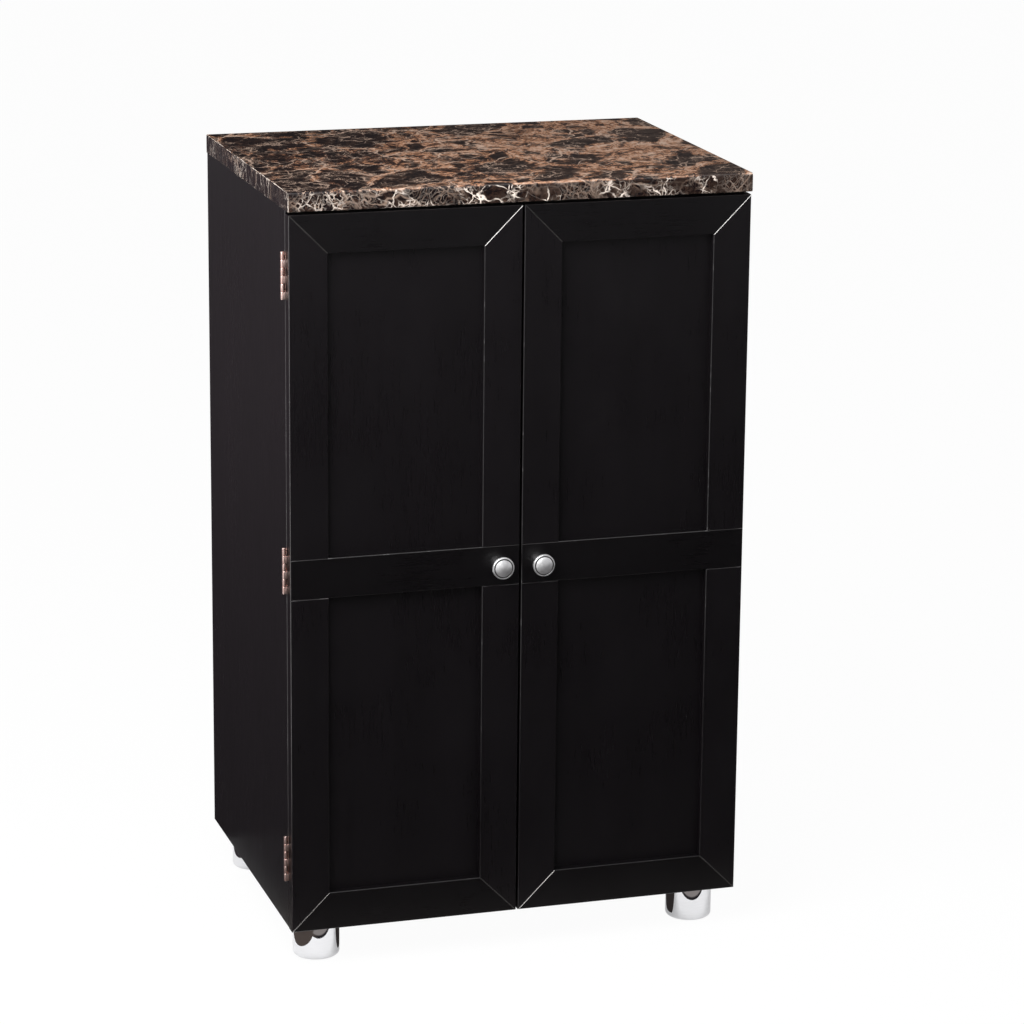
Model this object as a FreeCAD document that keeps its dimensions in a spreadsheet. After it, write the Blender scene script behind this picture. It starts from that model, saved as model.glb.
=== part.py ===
"""Bar cabinet: a slab top, a board carcass, two framed doors on butt hinges and four round feet.

Millimetres, +Z up, doors facing -Y. The origin is on the floor, under the middle of the cabinet's
box, knobs and hinge barrels included. Left and right are as seen by someone facing the doors.
"""
import FreeCAD, Part
import math
import os
import re

import Sketcher

# Driving dimensions. Each is one cell of the sheet, and the model is bound to the cells.
SIZES = {
    # Carcass boards
    "carcass_width": 635.0,
    "carcass_height": 986.6,
    "carcass_depth": 452.0,
    "side_thick": 16.0,
    "bottom_thick": 16.0,
    "top_rail_thick": 16.0,
    "top_rail_depth": 80.0,
    "back_thick": 3.0,
    "back_inset": 8.0,
    "back_groove": 5.0,
    "groove_clear": 0.15,
    # Slab top
    "slab_thick": 25.4,
    "slab_side_lip": 1.0,
    "slab_lip": 2.0,
    "slab_top_round": 4.0,
    "slab_low_round": 2.0,
    "edge_band_thick": 0.8,
    "edge_band_arris": 0.4,
    # Doors
    "door_thick": 18.0,
    "door_gap": 3.0,
    "door_top_gap": 4.0,
    "hinge_gap": 1.6,
    "frame_width": 52.0,
    "mid_rail_width": 54.5,
    "mid_rail_height": 494.0,
    "arris": 0.8,
    "panel_thick": 4.0,
    "panel_recess": 11.0,
    "panel_tongue": 8.0,
    "panel_clear": 0.15,
    # Butt hinges, the middle one set from the middle of the mid rail
    "hinge_length": 63.5,
    "hinge_top_drop": 82.0,
    "hinge_mid_height": 9.0,
    "hinge_low_height": 100.0,
    "barrel_radius": 2.4,
    "pin_radius": 1.5,
    "pin_chamfer": 0.5,
    "pin_clear": 0.05,
    "pin_offset": 4.0,
    "knuckle_clear": 0.3,
    "leaf_thick": 1.2,
    "leaf_clear": 0.3,
    "leaf_reach": 13.0,
    "mortise_clear": 0.1,
    "hinge_screw_spread": 48.0,
    "hinge_screw_inset": 7.5,
    "hinge_screw_head": 2.7,
    "hinge_screw_radius": 1.5,
    "hinge_screw_length": 14.0,
    "hinge_screw_tip": 3.0,
    "screw_clear": 0.05,
    "drill_spare": 0.5,
    # Knobs
    "knob_radius": 15.0,
    "knob_reach": 20.0,
    "knob_edge_inset": 27.0,
    "knob_base_radius": 8.0,
    "knob_base_height": 2.0,
    "knob_neck_sweep": 14.0,
    "knob_rim_thick": 4.0,
    "knob_rim_round": 1.2,
    "knob_crown": 3.0,
    "knob_ring_radius": 12.7,
    "knob_ring_width": 1.0,
    "knob_ring_depth": 0.6,
    "knob_screw_radius": 2.0,
    "knob_screw_head": 4.0,
    "knob_screw_head_thick": 2.4,
    "knob_screw_engaged": 12.0,
    # Feet
    "foot_height": 55.0,
    "foot_radius": 32.0,
    "foot_round": 5.0,
    "foot_wall": 2.5,
    "foot_base_thick": 5.0,
    "foot_inset_side": 47.0,
    "foot_inset_front": 36.0,
    "foot_inset_rear": 55.0,
    "foot_boss_radius": 9.0,
    "foot_bolt_radius": 4.0,
    "foot_bolt_chamfer": 1.0,
    "foot_bolt_in_boss": 20.0,
    "foot_bolt_in_board": 12.0,
    "foot_pad_radius": 23.0,
    "foot_pad_thick": 2.5,
    "foot_pad_proud": 1.0,
    # Shelves and racks, the fixed shelf set from the middle of the doors' mid rails
    "shelf_thick": 16.0,
    "fixed_shelf_height": 9.0,
    "fixed_shelf_setback": 12.0,
    "loose_shelf_height": 249.0,
    "loose_shelf_setback": 40.0,
    "loose_shelf_clear": 1.0,
    "shelf_pin_radius": 2.5,
    "shelf_pin_chamfer": 1.2,
    "shelf_pin_depth": 8.0,
    "shelf_pin_reach": 9.0,
    "shelf_pin_inset": 50.0,
    "shelf_pin_pitch": 32.0,
    "stem_rail_pitch": 110.0,
    "stem_rail_setback": 20.0,
    "stem_end_gap": 20.0,
    "stem_web_width": 14.0,
    "stem_web_drop": 30.0,
    "stem_flange_width": 80.0,
    "stem_flange_thick": 9.0,
    "rack_thick": 16.0,
    "rack_height": 70.0,
    "rack_front_setback": 60.0,
    "rack_spacing": 190.0,
    "rack_end_land": 20.0,
    "cradle_pitch": 116.0,
    "cradle_radius": 42.0,
    "cradle_rise": 14.0,
    # Fixings, the slab's screws set from the stemware rail next to the middle
    "cam_radius": 7.5,
    "cam_thick": 12.0,
    "cam_setback": 24.0,
    "cam_end_inset": 95.0,
    "rail_cam_inset": 20.0,
    "cam_bolt_radius": 3.0,
    "cam_bolt_chamfer": 1.5,
    "cam_bolt_in_side": 10.0,
    "fit_clear": 0.1,
    "top_screw_radius": 2.0,
    "top_screw_head": 4.0,
    "top_screw_head_thick": 2.5,
    "top_screw_in_slab": 14.0,
    "top_screw_offset": 55.0,
    "catch_offset": 64.0,
    "catch_width": 46.0,
    "catch_depth": 16.0,
    "catch_flange_thick": 3.0,
    "catch_case_width": 30.0,
    "catch_case_drop": 12.0,
    "catch_pole_width": 16.0,
    "catch_pole_thick": 2.0,
    "catch_pole_gap": 5.0,
    "catch_pole_proud": 1.0,
    "catch_clear": 0.3,
    "strike_width": 34.0,
    "strike_height": 12.0,
    "strike_thick": 1.0,
    "strike_corner": 2.0,
}

# Counts of what repeats.
KNUCKLES = 6
PIN_ROWS = 5

# Places worked out from the sizes, as formulas in their names.
PLACES = {
    "outer": "carcass_width / 2",
    "inner": "outer - side_thick",
    "rear": "(carcass_depth + hinge_gap + door_thick + knob_reach) / 2",
    "front": "rear - carcass_depth",
    "door_back": "front - hinge_gap",
    "door_face": "door_back - door_thick",
    "slab_face": "door_face - slab_lip",
    "slab_half": "outer + slab_side_lip",
    "back_face": "rear - back_inset - back_thick",
    "slab_under": "foot_height + carcass_height",
    "slab_top": "slab_under + slab_thick",
    "rail_under": "slab_under - top_rail_thick",
    "bottom_top": "foot_height + bottom_thick",
    "door_top": "slab_under - door_top_gap",
    "free_edge": "door_gap / 2",
    "mid_level": "foot_height + mid_rail_height",
    "mid_low": "mid_level - mid_rail_width / 2",
    "mid_high": "mid_level + mid_rail_width / 2",
    "knob_out": "free_edge + knob_edge_inset",
    "pin_out": "outer + pin_offset",
    "pin_line": "front - hinge_gap / 2",
    "knuckle": f"hinge_length / {KNUCKLES}",
    "leaf_sink": "leaf_clear + leaf_thick - hinge_gap / 2",
    "fixed_shelf_under": "mid_level + fixed_shelf_height",
    "loose_shelf_under": "foot_height + loose_shelf_height",
    "shelf_pin_level": "loose_shelf_under - shelf_pin_radius",
    "shelf_pin_front": "front + loose_shelf_setback + shelf_pin_inset",
    "shelf_pin_rear": "back_face - shelf_pin_inset",
    "strike_level": "fixed_shelf_under - (catch_flange_thick + catch_case_drop) / 2",
    "strike_face": "door_back + strike_thick",
}
HINGE_LEVELS = {
    "top": "door_top - hinge_top_drop",
    "middle": "mid_level + hinge_mid_height",
    "bottom": "foot_height + hinge_low_height",
}
SIDES = {"left": -1, "right": 1}
UP = FreeCAD.Vector(0, 0, 1)
BACK = FreeCAD.Vector(0, 1, 0)
FORTH = FreeCAD.Vector(0, -1, 0)

doc = FreeCAD.newDocument("bar_cabinet")
sheet = doc.addObject("Spreadsheet::Sheet", "Sizes")
nodes = []


def fill_sheet():
    for row, (name, size) in enumerate(SIZES.items(), start=1):
        sheet.set(f"A{row}", name)
        sheet.set(f"B{row}", str(size))
        sheet.setAlias(f"B{row}", name)
    doc.recompute()


# Formulas

def bind(formula):
    """Turn a formula in names of sizes and places into an expression on the sheet's cells."""
    def swap(found):
        name = found.group()
        if name in PLACES:
            return "(" + bind(PLACES[name]) + ")"
        return f"Sizes.{name}" if name in SIZES else name
    return re.sub(r"[a-z_]\w*", swap, formula)


def value(formula):
    result = sheet.evalExpression(bind(formula))
    return float(getattr(result, "Value", result))


def mirrored(sign, formula):
    return formula if sign > 0 else f"-({formula})"


def spread(room, pitch):
    """Places of a middle piece and of as many pairs beside it as a stretch has room for at a pitch."""
    pairs = int(value(room) / value(pitch) / 2)
    return [f"{index} * {pitch}" for index in range(-pairs, pairs + 1)]


def span(sign, near, far):
    """Low and high X of a stretch given as distances out from the middle of the cabinet."""
    return (near, far) if sign > 0 else (f"-({far})", f"-({near})")


# Solids

def aim(item, place, along=UP):
    """Put an item's own origin at a place, with its own Z along a direction."""
    item.Placement = FreeCAD.Placement(FreeCAD.Vector(), FreeCAD.Rotation(UP, along))
    for axis, formula in zip("xyz", place):
        item.setExpression(f"Placement.Base.{axis}", bind(formula))
    return item


def block(name, x, y, z):
    """A square-edged board between low and high formulas on each axis."""
    item = doc.addObject("Part::Box", name)
    for edge, (low, high) in zip(("Length", "Width", "Height"), (x, y, z)):
        item.setExpression(edge, bind(f"({high}) - ({low})"))
    return aim(item, (x[0], y[0], z[0]))


def rod(name, radius, length, place, along=UP):
    item = doc.addObject("Part::Cylinder", name)
    item.setExpression("Radius", bind(radius))
    item.setExpression("Height", bind(length))
    return aim(item, place, along)


def cone(name, near_radius, far_radius, length, place, along=UP):
    item = doc.addObject("Part::Cone", name)
    item.setExpression("Radius1", bind(near_radius))
    item.setExpression("Radius2", bind(far_radius))
    item.setExpression("Height", bind(length))
    return aim(item, place, along)


def fused(name, items):
    item = doc.addObject("Part::MultiFuse", name)
    item.Shapes = items
    return item


def carved(name, base, tools):
    item = doc.addObject("Part::Cut", name)
    item.Base = base
    item.Tool = tools[0] if len(tools) == 1 else fused(f"{name}_tools", tools)
    return item


def together(name, items):
    """Separate solids that share one node."""
    item = doc.addObject("Part::Compound", name)
    item.Links = items
    return item


def node(item, label):
    item.Label = label
    nodes.append(item)
    return item


# Sketched solids

def origin_item(body, role):
    return next(item for item in body.Origin.OriginFeatures if item.Role == role)


def new_sketch(body, name, plane, lift="0"):
    sketch = body.newObject("Sketcher::SketchObject", name)
    sketch.AttachmentSupport = [(origin_item(body, plane), "")]
    sketch.MapMode = "FlatFace"
    sketch.setExpression("AttachmentOffset.Base.z", bind(lift))
    return sketch


def outline(body, name, plane, points, lift="0"):
    """Closed sketch through points (x, y), all tied to the sizes.

    A third formula is the radius of an arc to the next point, which bulges to the left of the way
    there, or to the right where the formula starts with a minus sign.
    """
    sketch = new_sketch(body, name, plane, lift)
    spots = [FreeCAD.Vector(value(point[0]), value(point[1]), 0) for point in points]
    starts = []
    for index, point in enumerate(points):
        here = spots[index]
        there = spots[(index + 1) % len(spots)]
        if len(point) == 2:
            sketch.addGeometry(Part.LineSegment(here, there))
            starts.append(1)
            continue
        radius = value(point[2])
        chord = there - here
        left = FreeCAD.Vector(-chord.y, chord.x, 0).normalize() * math.copysign(1, radius)
        sagitta = abs(radius) - math.sqrt(radius ** 2 - chord.Length ** 2 / 4)
        sketch.addGeometry(Part.Arc(here, (here + there) / 2 + left * sagitta, there))
        starts.append(2 if radius > 0 else 1)
        limit = sketch.addConstraint(Sketcher.Constraint("Radius", index, abs(radius)))
        sketch.setExpression(f"Constraints[{limit}]", bind(point[2].lstrip("-")))
    for index, point in enumerate(points):
        after = (index + 1) % len(points)
        meet = Sketcher.Constraint("Coincident", index, 3 - starts[index], after, starts[after])
        sketch.addConstraint(meet)
        for kind, formula, size in zip(("DistanceX", "DistanceY"), point, spots[index]):
            tie = sketch.addConstraint(Sketcher.Constraint(kind, -1, 1, index, starts[index], size))
            sketch.setExpression(f"Constraints[{tie}]", bind(formula))
    return sketch


def circles(body, name, plane, centres, radius, lift="0"):
    sketch = new_sketch(body, name, plane, lift)
    for index, (across, along) in enumerate(centres):
        centre = FreeCAD.Vector(value(across), value(along), 0)
        sketch.addGeometry(Part.Circle(centre, UP, value(radius)))
        ties = (("DistanceX", across, centre.x), ("DistanceY", along, centre.y))
        for kind, formula, size in ties:
            tie = sketch.addConstraint(Sketcher.Constraint(kind, -1, 1, index, 3, size))
            sketch.setExpression(f"Constraints[{tie}]", bind(formula))
        tie = sketch.addConstraint(Sketcher.Constraint("Radius", index, value(radius)))
        sketch.setExpression(f"Constraints[{tie}]", bind(radius))
    return sketch


def feature(body, kind, name, sketch, length):
    item = body.newObject(f"PartDesign::{kind}", name)
    item.Profile = sketch
    item.setExpression("Length", bind(length))
    return item


def ease(body, name, bar, outward, size):
    """Take the sharp arris off all round the face of a pad that looks outward."""
    doc.recompute()
    faces = bar.Shape.Faces
    face = max(range(len(faces)), key=lambda index: faces[index].CenterOfMass.dot(outward))
    item = body.newObject("PartDesign::Chamfer", name)
    item.Base = (bar, [f"Face{face + 1}"])
    item.setExpression("Size", bind(size))
    body.Tip = item
    return item


def row(body, name, originals, axis, step, count):
    """Repeat features of a body along one of its axes."""
    item = body.newObject("PartDesign::LinearPattern", name)
    item.Originals = originals
    item.Direction = (origin_item(body, axis), [""])
    item.Mode = "Spacing"
    item.setExpression("Offset", bind(step))
    item.Occurrences = count
    body.Tip = item
    return item


def extruded(name, plane, points, length, place=("0", "0", "0")):
    """A body with one outline pushed out along its plane's normal."""
    body = doc.addObject("PartDesign::Body", name)
    sketch = outline(body, f"{name}_outline", plane, points)
    feature(body, "Pad", f"{name}_pad", sketch, length)
    return aim(body, place)


def turned(name, points, place, along=UP):
    """A body turned about its own axis, from an outline of (radius, height) points."""
    body = doc.addObject("PartDesign::Body", name)
    sketch = outline(body, f"{name}_outline", "XZ_Plane", points)
    spin = body.newObject("PartDesign::Revolution", f"{name}_turn")
    spin.Profile = sketch
    spin.ReferenceAxis = (sketch, ["V_Axis"])
    spin.Angle = 360
    return aim(body, place, along)


def rectangle(low_x, high_x, low_y, high_y):
    return [(low_x, low_y), (high_x, low_y), (high_x, high_y), (low_x, high_y)]


# Slab top

def slab_outline():
    """Section of the slab, front edge rounded over at the top and eased below."""
    return [
        ("rear", "slab_under"),
        ("slab_face + slab_low_round", "slab_under", "slab_low_round"),
        ("slab_face", "slab_under + slab_low_round"),
        ("slab_face", "slab_top - slab_top_round", "slab_top_round"),
        ("slab_face + slab_top_round", "slab_top"),
        ("rear", "slab_top"),
    ]


def top_screw_places():
    for place, depth in (
        ("front", "front + top_rail_depth / 2"),
        ("rear", "back_face - top_rail_depth / 2"),
    ):
        for side, sign in SIDES.items():
            yield f"{side}_{place}", mirrored(sign, "stem_rail_pitch + top_screw_offset"), depth


def build_top():
    core_half = "slab_half - edge_band_thick"
    core_low = f"-({core_half})"
    core = extruded("slab_core", "YZ_Plane", slab_outline(), f"2 * ({core_half})", (core_low, "0", "0"))
    holes = []
    screws = []
    for name, across, depth in top_screw_places():
        hole_depth = "top_screw_in_slab + drill_spare"
        place = (across, depth, "slab_under")
        holes.append(rod(f"slab_pilot_{name}", "top_screw_radius + screw_clear", hole_depth, place))
        shank = "top_screw_head_thick + top_rail_thick"
        profile = [
            ("0", "0"),
            ("top_screw_head", "0"),
            ("top_screw_head", "top_screw_head_thick"),
            ("top_screw_radius", "top_screw_head_thick"),
            ("top_screw_radius", f"{shank} + top_screw_in_slab - top_screw_radius"),
            ("0", f"{shank} + top_screw_in_slab"),
        ]
        place = (across, depth, "rail_under - top_screw_head_thick")
        screws.append(turned(f"top_screw_{name}", profile, place))
    node(carved("slab_drilled", core, holes), "marble_top")
    node(together("top_screws", screws), "top_fixing_screws")
    for side, sign in SIDES.items():
        low = span(sign, core_half, "slab_half")[0]
        band = extruded(f"{side}_band", "YZ_Plane", slab_outline(), "edge_band_thick", (low, "0", "0"))
        ease(band, f"{side}_band_eased", band.Tip, FreeCAD.Vector(sign, 0, 0), "edge_band_arris")
        node(band, f"{side}_top_edge_band")


# Carcass

def cam_joints():
    """Where boards are drawn up to the sides: name, board, depth, the board's underside and thickness."""
    front_cam = "front + cam_end_inset"
    rear_cam = "back_face - cam_end_inset"
    return [
        ("bottom_front", "bottom_panel", front_cam, "foot_height", "bottom_thick"),
        ("bottom_rear", "bottom_panel", rear_cam, "foot_height", "bottom_thick"),
        ("shelf_front", "fixed_shelf", front_cam, "fixed_shelf_under", "shelf_thick"),
        ("shelf_rear", "fixed_shelf", rear_cam, "fixed_shelf_under", "shelf_thick"),
        ("rail_front", "top_front_rail", "front + rail_cam_inset", "rail_under", "top_rail_thick"),
        ("rail_rear", "top_rear_rail", "back_face - rail_cam_inset", "rail_under", "top_rail_thick"),
    ]


def build_cams():
    """Cam locks and their bolts. Returns the cutters that make room for them, by board."""
    cutters = {}
    locks = []
    bolts = []
    for name, board, depth, under, thick in cam_joints():
        for side, sign in SIDES.items():
            tag = f"{side}_{name}"
            across = mirrored(sign, "inner - cam_setback")
            level = f"{under} + {thick} / 2"
            outward = FreeCAD.Vector(sign, 0, 0)
            seat = rod(f"cam_seat_{tag}", "cam_radius + fit_clear", "cam_thick", (across, depth, under))
            reach = "cam_setback + cam_bolt_in_side"
            bore = rod(f"cam_bore_{tag}", "cam_bolt_radius + fit_clear", f"{reach} + drill_spare",
                       (across, depth, level), outward)
            disc = rod(f"cam_disc_{tag}", "cam_radius", "cam_thick", (across, depth, under))
            locks.append(carved(f"cam_lock_{tag}", disc, [bore]))
            profile = [
                ("0", "0"),
                ("cam_bolt_radius", "0"),
                ("cam_bolt_radius", f"{reach} - cam_bolt_chamfer"),
                ("cam_bolt_radius - cam_bolt_chamfer", reach),
                ("0", reach),
            ]
            bolts.append(turned(f"cam_bolt_{tag}", profile, (across, depth, level), outward))
            cutters.setdefault(board, []).extend([seat, bore])
            cutters.setdefault(f"{side}_side_panel", []).append(bore)
    node(together("cam_lock_set", locks), "cam_locks")
    node(together("cam_bolt_set", bolts), "cam_bolts")
    return cutters


def side_board(side, sign):
    """One side: a board with the back's groove and two rows of shelf pin holes on its inner face."""
    name = f"{side}_side"
    body = doc.addObject("PartDesign::Body", f"{name}_board")
    edges = rectangle("front", "rear", "foot_height", "slab_under")
    face = outline(body, f"{name}_face", "YZ_Plane", edges)
    board = feature(body, "Pad", f"{name}_pad", face, "side_thick")
    ease(body, f"{name}_eased", board, FreeCAD.Vector(sign, 0, 0), "arris")
    inner_face = "0" if sign > 0 else "side_thick"
    groove_low = "back_face - groove_clear"
    groove_high = "rear - back_inset + groove_clear"
    slot = outline(body, f"{name}_slot", "YZ_Plane",
                   rectangle(groove_low, groove_high, "foot_height", "slab_under"), inner_face)
    groove = feature(body, "Pocket", f"{name}_groove", slot, "back_groove")
    groove.Reversed = sign > 0
    lowest = f"shelf_pin_level - {PIN_ROWS // 2} * shelf_pin_pitch"
    spots = [("shelf_pin_front", lowest), ("shelf_pin_rear", lowest)]
    marks = circles(body, f"{name}_marks", "YZ_Plane", spots, "shelf_pin_radius + fit_clear", inner_face)
    holes = feature(body, "Pocket", f"{name}_pin_holes", marks, "shelf_pin_depth + drill_spare")
    holes.Reversed = sign > 0
    row(body, f"{name}_pin_rows", [holes], "Z_Axis", "shelf_pin_pitch", PIN_ROWS)
    aim(body, ("inner" if sign > 0 else "-outer", "0", "0"))
    return body


def build_carcass(cutters):
    width = ("-inner", "inner")
    bottom = block("bottom_board", width, ("front", "back_face"), ("foot_height", "bottom_top"))
    node(carved("bottom_bored", bottom, cutters["bottom_panel"]), "bottom_panel")

    level = ("rail_under", "slab_under")
    depths = {
        "top_front_rail": ("front", "front + top_rail_depth"),
        "top_rear_rail": ("back_face - top_rail_depth", "back_face"),
    }
    for name, depth in depths.items():
        bores = list(cutters[name])
        for screw, across, spot in top_screw_places():
            if screw.split("_")[1] == name.split("_")[1]:
                bores.append(rod(f"{screw}_rail_hole", "top_screw_radius + screw_clear", "top_rail_thick",
                                 (across, spot, "rail_under")))
        node(carved(f"{name}_bored", block(f"{name}_board", width, depth, level), bores), name)

    shelf = block("shelf_board", width, ("front + fixed_shelf_setback", "back_face"),
                  ("fixed_shelf_under", "fixed_shelf_under + shelf_thick"))
    node(carved("shelf_bored", shelf, cutters["fixed_shelf"]), "fixed_shelf")

    reach = "inner + back_groove - groove_clear"
    back = block("back_board", (f"-({reach})", reach), ("back_face", "back_face + back_thick"),
                 ("foot_height", "slab_under"))
    node(back, "back_panel")

    for side, sign in SIDES.items():
        board = side_board(side, sign)
        node(carved(f"{side}_side_cut", board, cutters[f"{side}_side_panel"]), f"{side}_side_panel")


# Shelves and racks

def build_shelves():
    half = "inner - loose_shelf_clear"
    shelf = block("loose_board", (f"-({half})", half),
                  ("front + loose_shelf_setback", "back_face - loose_shelf_clear"),
                  ("loose_shelf_under", "loose_shelf_under + shelf_thick"))
    node(shelf, "adjustable_shelf")
    pins = []
    length = "shelf_pin_depth + shelf_pin_reach"
    profile = [
        ("0", "0"),
        ("shelf_pin_radius", "0"),
        ("shelf_pin_radius", f"{length} - shelf_pin_chamfer"),
        ("shelf_pin_radius - shelf_pin_chamfer", length),
        ("0", length),
    ]
    for side, sign in SIDES.items():
        for place in ("shelf_pin_front", "shelf_pin_rear"):
            across = mirrored(sign, "inner + shelf_pin_depth")
            inward = FreeCAD.Vector(-sign, 0, 0)
            pins.append(turned(f"{side}_{place}", profile, (across, place, "shelf_pin_level"), inward))
    node(together("shelf_pin_set", pins), "shelf_pins")


def build_stemware_rails():
    """Upside-down T rails that hang from the top rails. Stems slide between their flanges."""
    web = "stem_web_width / 2"
    wing = "stem_flange_width / 2"
    low = "-(stem_web_drop + stem_flange_thick)"
    section = [
        (f"-{web}", "0"),
        (f"-{web}", "-stem_web_drop"),
        (f"-{wing}", "-stem_web_drop"),
        (f"-{wing}", low),
        (wing, low),
        (wing, "-stem_web_drop"),
        (web, "-stem_web_drop"),
        (web, "0"),
    ]
    length = "back_face - front - 2 * stem_rail_setback"
    room = "2 * (inner - stem_end_gap) - stem_flange_width"
    rails = []
    for index, across in enumerate(spread(room, "stem_rail_pitch"), start=1):
        place = (across, "back_face - stem_rail_setback", "rail_under")
        rails.append(extruded(f"stem_rail_{index}", "XZ_Plane", section, length, place))
    node(together("stem_rail_set", rails), "stemware_rails")


def build_bottle_rack():
    """Two rails with a row of round cradles along the top, standing on the bottom panel."""
    top = "bottom_top + rack_height"
    half_chord = "sqrt(cradle_radius ^ 2 - cradle_rise ^ 2)"
    room = f"2 * (inner - rack_end_land - {half_chord})"
    edge = [("-inner", "bottom_top"), ("inner", "bottom_top"), ("inner", top)]
    for middle in reversed(spread(room, "cradle_pitch")):
        edge.append((f"{middle} + {half_chord}", top, "cradle_radius"))
        edge.append((f"{middle} - {half_chord}", top))
    edge.append(("-inner", top))
    front_face = "front + rack_front_setback + rack_thick"
    faces = {"front": front_face, "rear": f"{front_face} + rack_spacing"}
    for name, face in faces.items():
        rail = extruded(f"rack_{name}", "XZ_Plane", edge, "rack_thick", ("0", face, "0"))
        node(rail, f"bottle_rack_{name}_rail")


# Feet

def build_feet(cutters):
    """Drawn metal cups on bolts, with a glide pad let into each base."""
    base = "foot_pad_proud"
    recess = "foot_pad_thick"
    inside = "foot_radius - foot_wall"
    inner_floor = f"{base} + foot_base_thick"
    bore = "foot_bolt_radius + fit_clear"
    bore_floor = "foot_height - foot_bolt_in_boss - drill_spare"
    cup = [
        ("foot_pad_radius + fit_clear", base),
        ("foot_radius - foot_round", base, "-foot_round"),
        ("foot_radius", f"{base} + foot_round"),
        ("foot_radius", "foot_height"),
        (inside, "foot_height"),
        (inside, inner_floor),
        ("foot_boss_radius", inner_floor),
        ("foot_boss_radius", "foot_height"),
        (bore, "foot_height"),
        (bore, bore_floor),
        ("0", bore_floor),
        ("0", recess),
        ("foot_pad_radius + fit_clear", recess),
    ]
    pad = [
        ("0", "0"),
        ("foot_pad_radius - foot_pad_proud", "0"),
        ("foot_pad_radius", "foot_pad_proud"),
        ("foot_pad_radius", "foot_pad_thick"),
        ("0", "foot_pad_thick"),
    ]
    length = "foot_bolt_in_boss + foot_bolt_in_board"
    bolt = [
        ("0", "0"),
        ("foot_bolt_radius - foot_bolt_chamfer", "0"),
        ("foot_bolt_radius", "foot_bolt_chamfer"),
        ("foot_bolt_radius", f"{length} - foot_bolt_chamfer"),
        ("foot_bolt_radius - foot_bolt_chamfer", length),
        ("0", length),
    ]
    pads = []
    bolts = []
    for place, depth in (("front", "front + foot_inset_front"), ("rear", "rear - foot_inset_rear")):
        for side, sign in SIDES.items():
            tag = f"{side}_{place}"
            across = mirrored(sign, "outer - foot_inset_side")
            node(turned(f"{tag}_cup", cup, (across, depth, "0")), f"{tag}_foot")
            pads.append(turned(f"{tag}_pad", pad, (across, depth, "0")))
            bolts.append(turned(f"{tag}_bolt", bolt, (across, depth, "foot_height - foot_bolt_in_boss")))
            hole_depth = "foot_bolt_in_board + drill_spare"
            hole = rod(f"{tag}_bolt_hole", bore, hole_depth, (across, depth, "foot_height"))
            cutters["bottom_panel"].append(hole)
    node(together("foot_bolt_set", bolts), "foot_bolts")
    node(together("foot_pad_set", pads), "foot_pads")


# Hinges

def leaf_blank(name, sign, first, on_door):
    """One leaf about its pin's axis: a plate with necks that run into every second knuckle.

    The plate lies behind the axis on the carcass and ahead of it on the door. Knuckles are counted
    from the bottom, and first is this leaf's lowest one.
    """
    body = doc.addObject("PartDesign::Body", name)
    inward = -sign
    reach = f"{inward} * (pin_offset + leaf_reach)"
    notch = f"{inward} * pin_offset"
    plate = [(reach, "0"), (reach, "hinge_length"), (notch, "hinge_length")]
    own = range(first, KNUCKLES, 2)
    for index in reversed(own):
        high = f"{index + 1} * knuckle - knuckle_clear / 2"
        low = f"{index} * knuckle + knuckle_clear / 2"
        plate += [(notch, high), ("0", high), ("0", low), (notch, low)]
    plate.append((notch, "0"))
    lift = "leaf_clear" if on_door else "-(leaf_clear + leaf_thick)"
    sheet_outline = outline(body, f"{name}_sheet", "XZ_Plane", plate, lift)
    feature(body, "Pad", f"{name}_plate", sheet_outline, "leaf_thick")
    ring = circles(body, f"{name}_ring", "XY_Plane", [("0", "0")], "barrel_radius",
                   f"{first} * knuckle + knuckle_clear / 2")
    roll = feature(body, "Pad", f"{name}_roll", ring, "knuckle - knuckle_clear")
    row(body, f"{name}_rolls", [roll], "Z_Axis", "2 * knuckle", len(own))
    bore = circles(body, f"{name}_bore", "XY_Plane", [("0", "0")], "pin_radius + pin_clear")
    hole = feature(body, "Pocket", f"{name}_hole", bore, "hinge_length")
    hole.Reversed = True
    return body


def hinge_screw(name, place, along):
    """Countersunk screw whose head fills the leaf's thickness."""
    profile = [
        ("0", "0"),
        ("hinge_screw_head", "0"),
        ("hinge_screw_radius", "leaf_thick"),
        ("hinge_screw_radius", "hinge_screw_length - hinge_screw_tip"),
        ("0", "hinge_screw_length"),
    ]
    return turned(name, profile, place, along)


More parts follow.
